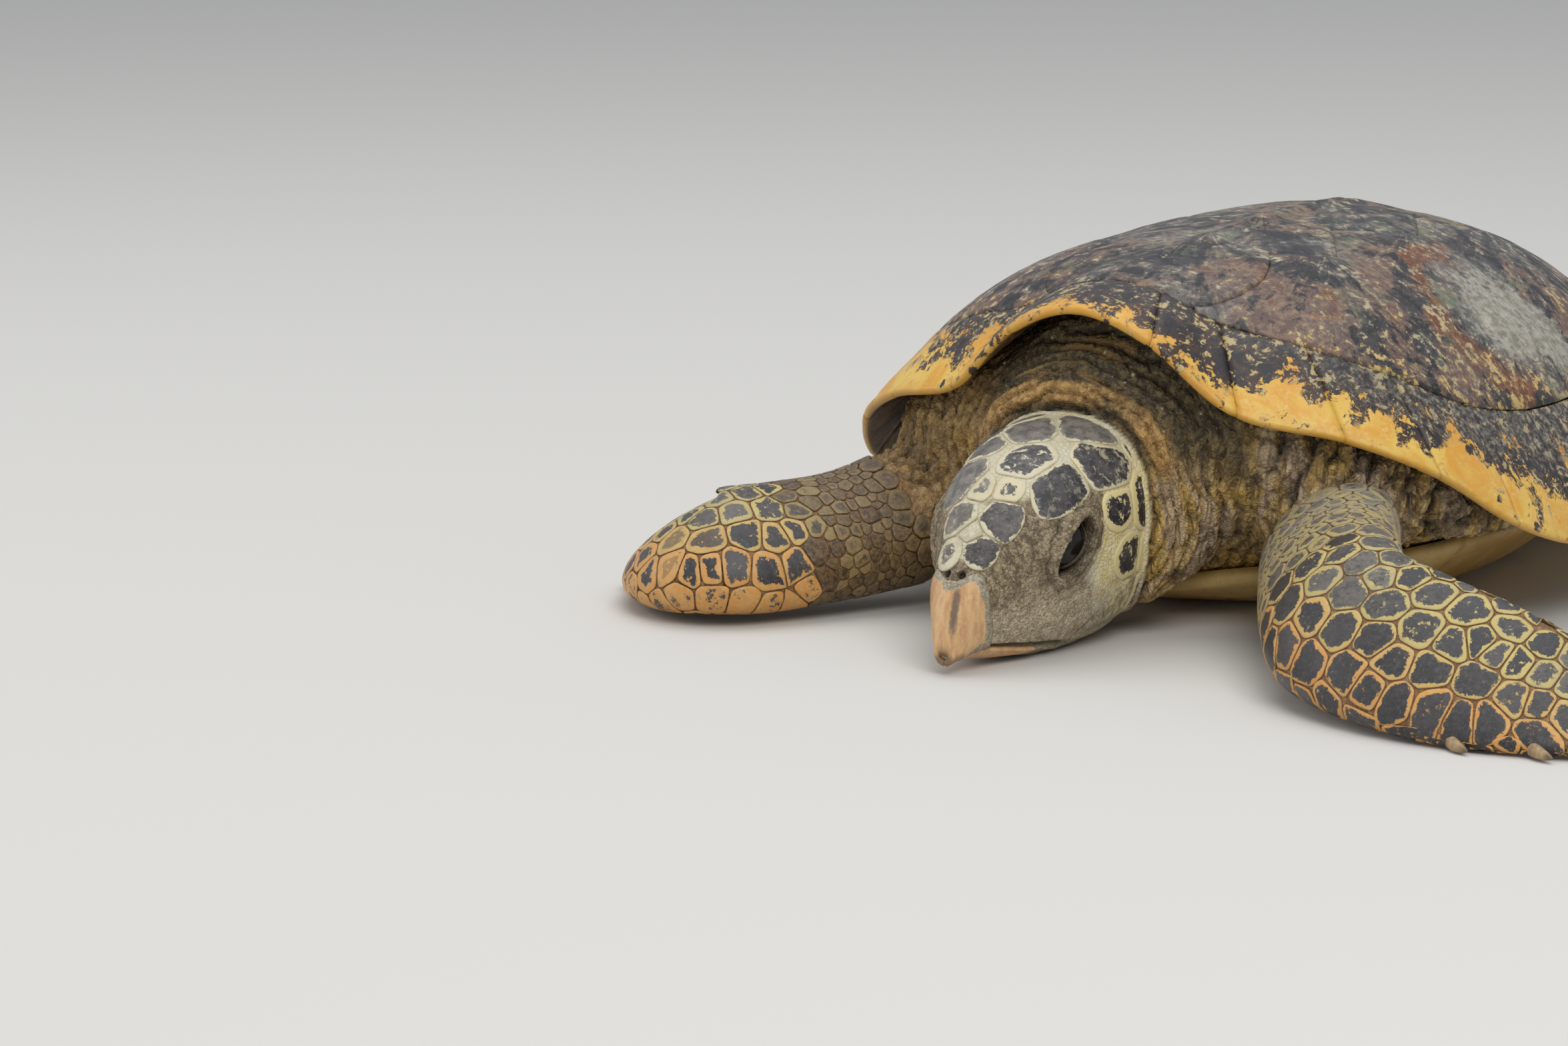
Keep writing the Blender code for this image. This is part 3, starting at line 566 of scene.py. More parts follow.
class Look:
    """A material under construction, with one method for every kind of node."""

    def __init__(self, name, roughness=0.5, **constants):
        self.material = bpy.data.materials.new(name)
        self.material.use_nodes = True
        self.tree = self.material.node_tree
        self.shader = self.tree.nodes["Principled BSDF"]
        self.shader.inputs["Roughness"].default_value = roughness
        for socket, value in constants.items():
            self.shader.inputs[socket.replace("_", " ")].default_value = value

    def node(self, kind, settings=None, **inputs):
        made = self.tree.nodes.new(f"ShaderNode{kind}")
        for setting, value in (settings or {}).items():
            setattr(made, setting, value)
        for name, value in inputs.items():
            socket = made.inputs[int(name)] if name.isdigit() else made.inputs[name]
            self.feed(socket, value)
        return made

    def feed(self, socket, value):
        if isinstance(value, Value):
            value = value.socket
        if isinstance(value, bpy.types.NodeSocket):
            self.tree.links.new(value, socket)
        elif socket.type == "RGBA":
            socket.default_value = (*value, 1)
        else:
            socket.default_value = value

    def place(self):
        return self.node("TexCoord").outputs["Object"]

    def attribute(self, name):
        return Value(self, self.node("Attribute", {"attribute_name": name}).outputs["Fac"])

    def attributes(self, *names):
        return [self.attribute(name) for name in names]

    def over(self, colour, *layers):
        """Colours laid over each other, each by its share."""
        for share, paint in layers:
            colour = self.mix(share, colour, paint)
        return colour

    def stretched(self, vector, stretch):
        return self.node("VectorMath", {"operation": "MULTIPLY"},
                         **{"0": vector, "1": stretch}).outputs[0]

    def noise(self, size, detail=4, roughness=0.55, vector=None, distortion=0.0):
        """Noise of about 0 to 1 with lumps of the given size in metres."""
        made = self.node("TexNoise", Vector=vector or self.place(), Scale=1 / size,
                         Detail=detail, Roughness=roughness, Distortion=distortion)
        return Value(self, made.outputs["Fac"])

    def cells(self, size, feature="DISTANCE_TO_EDGE", vector=None):
        made = self.node("TexVoronoi", {"feature": feature}, Vector=vector or self.place(),
                         Scale=1 / size)
        return Value(self, made.outputs["Distance"])

    def mix(self, share, first, second):
        """From the first colour to the second by share."""
        sockets = {"0": share, "6": first, "7": second}
        return self.node("Mix", {"data_type": "RGBA"}, **sockets).outputs[2]

    def finish(self, colour, height=None, distance=0.001, strength=1.0, roughness=None):
        self.feed(self.shader.inputs["Base Color"], colour)
        if roughness is not None:
            self.feed(self.shader.inputs["Roughness"], roughness)
        if height is not None:
            bump = self.node("Bump", Height=height, Distance=distance, Strength=strength)
            self.feed(self.shader.inputs["Normal"], bump.outputs[0])
        return self.material


def finish_skin():
    """Wrinkled leathery skin: pale on the head, olive on the neck, orange on the limbs, with
    painted shade in its creases, pits, eye slits and the gaps between its lumps, and on the
    dark nape under the shell's arch.
    """
    look = Look("turtle skin", 0.55)
    head, neck, limb, crease_shade, yellow, grime, brown, stripe, band = look.attributes(
        "head", "neck", "limb", "crease_shade", "yellow", "grime", "brown", "stripe", "band")
    broad = look.noise(0.045, 3)
    fine = look.noise(0.006, 4, 0.65)
    grain = look.noise(0.0014, 3, 0.7)
    pebbles = look.cells(0.0036)
    lumps = look.cells(0.0105, vector=look.stretched(look.place(), (1.0, 1.0, 0.55)))
    blots = (look.noise(0.026, 5, 0.68) + 0.25 * fine).step(0.63, 0.73)
    body = look.over(
        look.mix(fine.step(0.4, 0.62), (0.45, 0.275, 0.09), (0.68, 0.49, 0.215)),
        (broad.step(0.48, 0.62), (0.74, 0.47, 0.115)),
        (stripe.step(0.48, 0.66) * 0.65, (0.59, 0.45, 0.33)),
        (blots * 0.8, (0.115, 0.078, 0.036)))
    specks = look.cells(0.01, "F1").step(0.17, 0.1) * look.noise(0.03, 2).step(0.5, 0.6)
    # the nape's colour: partly the skin's own dark olive-brown, partly painted shade under the
    # shell's arch
    shaded_nape = look.over(
        look.mix(fine.step(0.42, 0.62), (0.055, 0.04, 0.02), (0.2, 0.14, 0.055)),
        (stripe.step(0.6, 0.8) * 0.75, (0.36, 0.215, 0.07)),
        (specks, (0.58, 0.52, 0.38)),
        (band, look.mix(fine.step(0.4, 0.62), (0.33, 0.175, 0.05), (0.6, 0.37, 0.125))))
    arm = look.mix(fine.step(0.4, 0.66), (0.2, 0.095, 0.038), (0.33, 0.19, 0.075))
    dust = look.over(
        look.mix(fine.step(0.4, 0.62), (0.4, 0.32, 0.205), (0.64, 0.545, 0.38)),
        (brown, look.mix(fine.step(0.4, 0.62), (0.15, 0.108, 0.058), (0.4, 0.31, 0.18))),
        (grain.step(0.5, 0.58) * 0.65, (0.07, 0.056, 0.036)),
        (look.noise(0.0022, 3, 0.7).step(0.58, 0.66) * 0.6, (0.62, 0.55, 0.4)))
    face = look.over(
        look.mix(look.noise(0.03, 3).step(0.42, 0.62), (0.6, 0.53, 0.35), (0.66, 0.61, 0.45)),
        (yellow, look.mix(fine.step(0.42, 0.6), (0.74, 0.615, 0.28), (0.8, 0.71, 0.45))),
        (grime, dust))
    bare = (1 - head) * (1 - limb)
    # gap: painted shade in the crevices between the skin's lumps and pebbles
    gap = lumps.step(0.1, 0.02).most(pebbles.step(0.08, 0.02) * 0.6)
    colour = look.over(
        look.mix(neck.most(band), body, shaded_nape),
        (limb, arm),
        # painted shade between the lumps of the loose skin
        (gap * bare * (1 - 0.8 * neck.most(band)) * 0.5, (0.085, 0.055, 0.028)),
        (head, face),
        # painted shade: the skin darkened in its creases, folds, pits, grooves and eye slits
        ((crease_shade * (0.8 + 0.5 * fine)).least(0.95), (0.03, 0.019, 0.009)),
        (grain.step(0.58, 0.75) * 0.3, (0.62, 0.52, 0.36)))
    height = 0.5 * pebbles.step(0.0, 0.2) + 0.35 * fine + 0.35 * grain
    height = height + bare * 1.2 * lumps.step(0.0, 0.16)
    return look.finish(colour, height, 0.0015, 0.8, 0.46 + 0.3 * grain)


def finish_scales(name, middle, border, tip_border, dusty):
    """Scales with a ragged dark middle in a pale or orange border."""
    look = Look(name, 0.42, Coat_Roughness=0.3, Coat_Weight=0.08)
    # inside: metres in from the scale's outline; lead: 1 where the border is most
    # orange; open_dark: 1 for a full dark middle, 0 for none
    inside, tone, lead, open_dark, dust = look.attributes(
        "inside", "tone", "lead", "dark", "dust")
    broad = look.noise(0.011, 4, 0.6)
    fine = look.noise(0.0036, 4, 0.75)
    grain = look.noise(0.001, 3, 0.65)
    ragged = inside + 0.008 * (fine - 0.5) + 0.011 * (broad - 0.5) - 0.001 * lead
    ragged = ragged - 0.007 * (1 - open_dark)
    mask = ragged.step(0.0013, 0.0021) * open_dark.step(0.46, 0.52)
    spots = (0.5 * broad + 0.5 * fine + 0.2 * open_dark).step(0.63, 0.65)
    mask = mask.most(spots * inside.step(0.002, 0.004) * (1 - open_dark.step(0.46, 0.52)))
    holes = look.noise(0.005, 4, 0.7).step(0.6, 0.64) * (1 - open_dark.step(0.75, 0.95))
    rim_colour = look.over(
        look.mix(lead, border, tip_border),
        (fine.step(0.35, 0.7) * 0.5, (0.62, 0.5, 0.22)),
        (broad.step(0.5, 0.68) * 0.35, (0.42, 0.24, 0.08)))
    core = look.over(
        look.mix(tone, middle, (0.085, 0.076, 0.074)),
        (fine.step(0.5, 0.68) * 0.5, (0.075, 0.066, 0.07)),
        (grain.step(0.52, 0.78) * 0.3, (0.22, 0.2, 0.18)))
    seam = (inside + 0.0007 * (fine - 0.5)).step(0.0007, 0.0001)
    film = dust * (0.45 * broad + 0.75 * fine).step(0.42, 0.7)
    colour = look.over(
        look.mix(mask * (1 - holes), rim_colour, core),
        (seam * 0.85, (0.12, 0.05, 0.026)),
        (film, dusty),
        (look.attribute("shade"),
         look.mix(fine.step(0.4, 0.62), (0.045, 0.028, 0.012), (0.18, 0.1, 0.034))),
        (dust * grain.step(0.56, 0.7) * 0.5, (0.52, 0.48, 0.4)))
    height = 0.6 * fine + 0.4 * grain + 0.4 * mask
    return look.finish(colour, height, 0.0007, 0.65, 0.32 + 0.25 * film + 0.25 * grain)


def finish_head_scales():
    """Shields of the head: grey to charcoal with worn light streaks and pale rims."""
    look = Look("turtle head shields", 0.4)
    inside, tone, yellow, open_dark, dust = look.attributes(
        "inside", "tone", "lead", "dark", "dust")
    broad = look.noise(0.012, 4, 0.65)
    fine = look.noise(0.004, 5, 0.75)
    grain = look.noise(0.0011, 3, 0.7)
    ragged = inside + 0.009 * (fine - 0.5) + 0.013 * (broad - 0.5)
    ragged = ragged - 0.016 * (1 - open_dark)
    mask = ragged.step(0.0014, 0.0022) * open_dark.step(0.25, 0.4)
    gaps = look.noise(0.008, 5, 0.72, distortion=0.5).step(0.555, 0.59) * (
        1 - open_dark.step(0.84, 0.96))
    seam = (inside + 0.0005 * (fine - 0.5)).step(0.0007, 0.0001)
    pale = look.over(
        look.mix(yellow, (0.62, 0.55, 0.38), (0.76, 0.63, 0.28)),
        (fine.step(0.35, 0.7) * 0.5, (0.72, 0.66, 0.48)),
        (seam * (0.35 - 0.2 * yellow), (0.32, 0.26, 0.12)))
    charcoal = look.mix(broad.step(0.4, 0.62), (0.018, 0.016, 0.02), (0.05, 0.046, 0.052))
    grey = look.mix(broad.step(0.4, 0.6), (0.12, 0.11, 0.098), (0.27, 0.25, 0.22))
    worn = look.noise(0.0065, 5, 0.78, distortion=1.4).step(0.54, 0.66)
    core = look.over(
        look.mix(tone, charcoal, grey),
        (worn * 0.6, (0.3, 0.28, 0.265)),
        (fine.step(0.58, 0.68) * 0.45, (0.44, 0.42, 0.38)),
        (grain.step(0.54, 0.66) * 0.5, (0.04, 0.036, 0.034)))
    sand = dust * (0.5 * broad + 0.6 * fine).step(0.44, 0.62)
    colour = look.over(
        look.mix(mask * (1 - gaps), pale, core),
        (sand, (0.27, 0.225, 0.14)),
        (sand * grain.step(0.5, 0.62) * 0.7, (0.085, 0.068, 0.042)))
    height = 0.5 * fine + 0.5 * grain + 0.35 * mask
    return look.finish(colour, height, 0.0006, 0.65, 0.34 + 0.3 * grain + 0.15 * dust)


def finish_shell():
    """Worn shell plates: charcoal blotches, cream flecks, red-brown and a grey film."""
    look = Look("turtle shell plates", 0.4)
    streak = look.node("Attribute", {"attribute_name": "streak"}).outputs["Vector"]
    worn, red, edge = look.attributes("worn", "red", "edge")
    blotch = look.noise(0.06, 6, 0.7, distortion=0.8)
    rays = look.noise(1.0, 7, 0.72, vector=streak, distortion=0.4)
    flecks = look.noise(0.018, 6, 0.72, distortion=0.9)
    small = look.noise(0.007, 5, 0.75)
    fine = look.noise(0.0035, 4, 0.7)
    grain = look.noise(0.0012, 3, 0.65)
    brown = (0.45 * blotch + 0.3 * rays + 0.25 * flecks).step(0.48, 0.525)
    ruddy = 0.42 * blotch + 0.28 * rays + 0.3 * flecks + 0.2 * red
    pale = 0.34 * flecks + 0.3 * rays + 0.36 * small + 0.045 * edge + 0.02 * red
    cream = pale.step(0.535, 0.565)
    haze = 0.4 * look.noise(0.13, 4, 0.6) + 0.35 * rays + 0.25 * flecks + 0.2 * worn
    haze = (haze - 0.1 * edge).step(0.465, 0.6)
    green = (0.5 * look.noise(0.04, 4, 0.6) + 0.3 * rays + 0.2 * small).step(0.53, 0.6)
    patch = (worn + 1.3 * (flecks - 0.5) + 0.8 * (small - 0.5)).step(0.45, 0.8)
    scratch = look.noise(0.004, 5, 0.75, distortion=1.5,
                         vector=look.stretched(look.place(), (0.35, 1.0, 1.0)))
    base = look.over(
        look.mix(flecks.step(0.42, 0.56), (0.013, 0.012, 0.016), (0.046, 0.04, 0.04)),
        (brown, look.mix(small.step(0.42, 0.6), (0.12, 0.068, 0.055), (0.24, 0.155, 0.1))),
        (ruddy.step(0.54, 0.58),
         look.mix(small.step(0.42, 0.62), (0.13, 0.04, 0.018), (0.3, 0.13, 0.045))),
        (cream * 0.95, look.mix((blotch + 0.5 * edge).step(0.46, 0.7),
                                (0.5, 0.43, 0.27), (0.62, 0.43, 0.13))),
        (haze * (0.35 + 0.55 * small),
         look.mix(small.step(0.4, 0.62), (0.15, 0.15, 0.135), (0.36, 0.355, 0.31))),
        (green * 0.45, (0.175, 0.195, 0.105)),
        (patch * 0.72, look.mix((0.6 * small + 0.4 * rays).step(0.42, 0.58),
                                (0.23, 0.215, 0.155), (0.47, 0.435, 0.37))),
        (scratch.step(0.58, 0.7) * 0.45, (0.46, 0.42, 0.35)))
    height = 0.5 * flecks + 0.4 * small + 0.4 * fine + 0.15 * grain + 0.3 * cream
    return look.finish(base, height, 0.0016, 0.7, 0.36 + 0.25 * fine + 0.14 * haze)


def finish_marginals():
    """The shell's edge: orange-yellow with dark blotches that run in from the back, and
    painted shade on its underside.
    """
    look = Look("turtle shell edge", 0.38)
    # across: 0 at the inner seam, 1 at the rim
    across, front, bias = look.attributes("across", "front", "bias")
    blotch = look.noise(0.036, 6, 0.66, distortion=0.6)
    drip = look.noise(0.013, 6, 0.7, distortion=0.7)
    small = look.noise(0.006, 5, 0.7)
    fine = look.noise(0.003, 4, 0.7)
    amber = look.over(
        look.mix(blotch.step(0.36, 0.62), (0.68, 0.33, 0.035), (0.74, 0.5, 0.1)),
        ((0.5 * drip + 0.5 * fine).step(0.5, 0.66) * 0.6, (0.8, 0.62, 0.26)),
        ((across + 0.4 * (drip - 0.5)).step(0.95, 1.12) * 0.6, (0.58, 0.28, 0.04)))
    cover = 0.7 * blotch + 0.5 * drip + 0.22 * small - 0.3 * (across - 0.5) + bias
    spots = look.cells(0.026, "F1") + 0.5 * (drip - 0.5) + 0.3 * (small - 0.5)
    spots = spots.step(0.185, 0.165) * look.noise(0.05, 2).step(0.46, 0.54)
    mask = cover.step(0.708, 0.72).most(spots * across.step(0.1, 0.2))
    brown = look.mix(drip.step(0.42, 0.6), (0.016, 0.014, 0.016), (0.06, 0.03, 0.02))
    flecks = (0.5 * drip + 0.5 * small + 0.04 * (0.5 - across)).step(0.545, 0.57)
    halo = cover.step(0.675, 0.712) * (1 - mask)
    film = (0.4 * look.noise(0.07, 4, 0.6) + 0.6 * drip - 0.3 * across).step(0.33, 0.42)
    film = film * (small + 0.5 * fine).step(0.62, 0.9)
    colour = look.over(
        look.mix(mask, amber, brown),
        (flecks * mask * 0.9, (0.56, 0.43, 0.18)),
        (halo * 0.6, (0.42, 0.17, 0.035)),
        (film * 0.7 * (1 - 0.7 * front), (0.23, 0.215, 0.17)),
        # painted shade: the rim's underside dark brown, as the hollow beneath it
        ((across + 0.1 * (drip - 0.5)).step(1.2, 1.28),
         look.mix(drip.step(0.42, 0.6), (0.11, 0.062, 0.024), (0.3, 0.18, 0.07))))
    height = 0.45 * drip + 0.35 * small + 0.3 * fine + 0.2 * mask
    return look.finish(colour, height, 0.0011, 0.55, 0.3 + 0.25 * fine)


def finish_plastron():
    """The belly plate: pale yellow horn with brownish stains and fine lines."""
    look = Look("turtle belly plate", 0.45)
    stain = look.noise(0.06, 5, 0.6)
    fine = look.noise(0.005, 4, 0.7)
    lines = look.noise(0.004, 4, 0.6,
                       vector=look.stretched(look.place(), (1.0, 0.15, 1.0)))
    colour = look.over(
        look.mix(stain.step(0.4, 0.62), (0.7, 0.49, 0.18), (0.54, 0.32, 0.09)),
        ((0.6 * lines + 0.4 * fine).step(0.52, 0.66) * 0.5, (0.33, 0.22, 0.1)),
        (look.attribute("groove") * 0.8, (0.2, 0.12, 0.05)))
    return look.finish(colour, 0.5 * lines + 0.5 * fine, 0.0007, 0.5, 0.4 + 0.2 * fine)


def finish_horn(name, light, deep, tip):
    """Beak or claw horn: tan with growth streaks, darker towards the tip."""
    look = Look(name, 0.36, Coat_Weight=0.1)
    # covered: 1 where horn goes over into dusty skin
    stained, end, covered = look.attributes("stain", "tip", "covered")
    streaks = look.noise(0.007, 5, 0.6,
                         vector=look.stretched(look.place(), (1.6, 1.6, 0.28)))
    fine = look.noise(0.0025, 4, 0.7)
    grain = look.noise(0.0008, 3, 0.6)
    colour = look.over(
        look.mix(streaks.step(0.36, 0.64), light, deep),
        (fine.step(0.52, 0.7) * 0.45, (0.74, 0.58, 0.38)),
        ((stained + 0.9 * (fine - 0.5)).step(0.25, 0.85) * 0.85, (0.115, 0.088, 0.07)),
        ((end + 0.35 * (streaks - 0.5)).step(0.55, 1.0) * 0.85, tip))
    dust = look.mix(fine.step(0.4, 0.62), (0.27, 0.225, 0.145), (0.5, 0.44, 0.32))
    dust = look.mix(grain.step(0.5, 0.58) * 0.6, dust, (0.07, 0.056, 0.036))
    covered = covered + 1.5 * (look.noise(0.014, 4, 0.65) - 0.5) + 0.7 * (fine - 0.5)
    colour = look.mix(covered.step(0.44, 0.56), colour, dust)
    height = 0.5 * streaks + 0.4 * fine + 0.2 * grain
    return look.finish(colour, height, 0.0006, 0.55, 0.3 + 0.25 * fine)


def finish_eye():
    """A wet dark eye with a faint brown iris."""
    look = Look("turtle eye", 0.1, Coat_Weight=0.2, Coat_Roughness=0.04,
                Specular_IOR_Level=0.25)
    ring = look.attribute("iris")
    veins = look.noise(0.002, 3, 0.6)
    colour = look.mix(ring * (0.4 + 0.6 * veins), (0.004, 0.003, 0.003),
                      (0.018, 0.011, 0.007))
    return look.finish(colour, veins, 0.0001, 0.1)


# ---------------------------------------------------------------- scales on a surface

class Body:
    """A smooth closed body of skin that scales are laid on."""

    def __init__(self, rings):
        points, faces = closed_rings(rings)
        self.tree = BVHTree.FromPolygons(points, faces)
        volume = sum(points[face[0]].dot(points[face[1]].cross(points[face[2]]))
                     for face in faces)
        self.out = 1 if volume > 0 else -1

    def at(self, point, lift=0.0):
        place, normal, _, _ = self.tree.find_nearest(point)
        return place + normal * (lift * self.out)

    def normal(self, point):
        return self.tree.find_nearest(point)[1] * self.out

    def bare(self, point):
        """Whether a point lies in the crook of a bend, where loose skin shows."""
        normal = self.normal(point)
        return self.tree.ray_cast(point + normal * 0.002, normal, 0.04)[0] is not None


class Seed:
    """Where a scale grows: its place, its run along the body and what it looks like."""

    def __init__(self, place, along, spot, room, size, **looks):
        self.place = place
        self.along = along
        self.spot = spot
        self.room = room
        self.size = size
        self.values = {"tone": 0.0, "lead": 0.0, "dust": 0.0, "shade": 0.0, **looks}


def clip(outline, normal_x, normal_y, distance):
    """Keep the part of an outline within a distance along a direction."""
    kept = []
    for here, after in neighbours(outline):
        out_here = here[0] * normal_x + here[1] * normal_y - distance
        out_after = after[0] * normal_x + after[1] * normal_y - distance
        if out_here <= 0:
            kept.append(here)
        if (out_here < 0 < out_after) or (out_after < 0 < out_here):
            kept.append(between(here, after, out_here / (out_here - out_after)))
    return kept


def middle_of(outline):
    count = max(len(outline), 1)
    return sum(x for x, _ in outline) / count, sum(y for _, y in outline) / count


def round_off(outline):
    """Cut the corners of an outline twice, a little first and then more."""
    for share in (0.15, 0.25):
        outline = [between(here, after, part) for here, after in neighbours(outline)
                   for part in (share, 1 - share)]
    return outline


LEAST_SCALE = 6e-6          # square metres below which no scale is laid
FULL_SIZE = 0.012           # smaller scales stand less high
# Rings from a scale's outline to its middle: share of the outline, share of the height.
SCALE_RINGS = [(1.0, -0.9), (0.995, 0.45), (0.955, 0.86), (0.86, 1.0), (0.68, 1.04),
               (0.42, 1.06), (0.18, 1.07)]


class Mosaic:
    """The neighbours of every seed, which bound its scale."""

    def __init__(self, body, seeds, seam):
        self.seeds = seeds
        self.seam = seam
        self.normals = [body.normal(seed.place) for seed in seeds]
        self.tree = KDTree(len(seeds))
        for index, seed in enumerate(seeds):
            self.tree.insert(seed.place, index)
        self.tree.balance()

    def outline(self, number):
        """A scale's outline in the plane of its two directions, with its middle."""
        seed = self.seeds[number]
        normal = self.normals[number]
        along = (seed.along - normal * seed.along.dot(normal)).normalized()
        across = normal.cross(along)
        outline = [(seed.room[0] * cos(turn), seed.room[1] * sin(turn))
                   for turn in full_turn(18)]
        for place, other, distance in self.tree.find_range(seed.place, 2.2 * max(seed.room)):
            if other == number or distance < 1e-5:
                continue
            apart = place - seed.place
            apart = (apart.dot(along), apart.dot(across))
            flat = sqrt(apart[0] ** 2 + apart[1] ** 2)
            facing = normal.dot(self.normals[other])
            if flat < 0.4 * distance or facing < -0.2:
                continue
            share = seed.size / (seed.size + self.seeds[other].size)
            bend = sqrt(max((1 + facing) / 2, 0.16))
            outline = clip(outline, apart[0] / flat, apart[1] / flat,
                           distance * share / bend - self.seam / 2)
        return outline, middle_of(outline), along, across


def settle(body, seeds, seam):
    """Copies of the seeds in the middle of their scales, so that no slivers are left."""
    seeds = [copy(seed) for seed in seeds if not body.bare(seed.place)]
    for _ in range(3):
        mosaic = Mosaic(body, seeds, seam)
        moved = []
        for number, seed in enumerate(seeds):
            _, middle, along, across = mosaic.outline(number)
            moved.append(body.at(seed.place + along * middle[0] + across * middle[1]))
        for seed, place in zip(seeds, moved):
            seed.place = place
    return seeds


def lay_scales(name, body, seeds, seam, height, material, slot, spread):
    """Grow one closed scale round each seed, up to its neighbours less half a seam."""
    mosaic = Mosaic(body, seeds, seam)
    points = []
    faces = []
    places = []
    values = {"inside": [], "dark": [], "tone": [], "lead": [], "dust": [], "shade": []}
    for number, seed in enumerate(seeds):
        outline, _, along, across = mosaic.outline(number)
        area = sum(a[0] * b[1] - b[0] * a[1] for a, b in neighbours(outline))
        if len(outline) < 3 or area / 2 < LEAST_SCALE:
            continue
        outline = round_off(outline)
        middle = middle_of(outline)
        size = sqrt(area / 2)
        tall = height * clamp(size / FULL_SIZE, 0.45, 1.0)
        base = len(points)
        count = len(outline)
        for factor, level in SCALE_RINGS:
            for x, y in outline:
                x = middle[0] + (x - middle[0]) * factor
                y = middle[1] + (y - middle[1]) * factor
                spot = seed.place + along * x + across * y
                far = sqrt((x - middle[0]) ** 2 + (y - middle[1]) ** 2)
                lift = tall * level if level > 0 else level * 0.001
                if factor > 0.9 and level > 0:
                    lift += 0.00018 * rough(spot, 0.004, 2)
                else:
                    lift += 0.0001 * rough(spot, 0.006, 2)
                points.append(body.at(spot, lift))
                values["inside"].append(far / max(factor, 0.05) * (1 - factor))
                places.append((seed.spot[0] + x / spread[0], seed.spot[1] + y / spread[1]))
        faces += grid_faces(len(SCALE_RINGS), count, base, around=True)
        for row, lift in ((0, -0.0009), (len(SCALE_RINGS) - 1, tall * 1.07)):
            spot = seed.place + along * middle[0] + across * middle[1]
            points.append(body.at(spot, lift))
            values["inside"].append(0.0 if row == 0 else size / 2)
            places.append((seed.spot[0] + middle[0] / spread[0],
                           seed.spot[1] + middle[1] / spread[1]))
            ring = base + row * count
            faces += [(ring + index, ring + (index + 1) % count, len(points) - 1)
                      for index in range(count)]
        for key, value in seed.values.items():
            values[key] += [value] * (len(points) - base)
    add_piece(name, points, faces, material, slot, (), values, places)


# ---------------------------------------------------------------- where scales grow

def walk(sections, side, turn, first, last):
    """The lengths along a limb's surface at one turn, with their positions."""
    stations = []
    length = 0.0
    before = None
    for position in steps(first, last, 60):
        point = limb_ring(sections, position, side, [turn], -SKIN_DEPTH)[0]
        if before is not None:
            length += (point - before).length
        stations.append((length, position))
        before = point
    return stations


def station(stations, wanted):
    """The position in a limb's sections at a length along a walk."""
    for (low, first), (high, after) in zip(stations, stations[1:]):
        if high >= wanted:
            return blend(first, after, (wanted - low) / max(high - low, 1e-6))
    return stations[-1][1]


CROOK = 0.3         # no scales where a bend squeezes the surface to less than this share
# Rows of big scales round a flipper: turn from its leading edge (degrees), then size.
FLIPPER_ROWS = [(6, 1.35), (45, 1.1), (75, 1.0), (102, 0.95), (130, 0.85), (166, 0.95),
                (198, 0.8), (228, 0.9), (256, 1.0), (286, 1.0), (322, 1.0)]


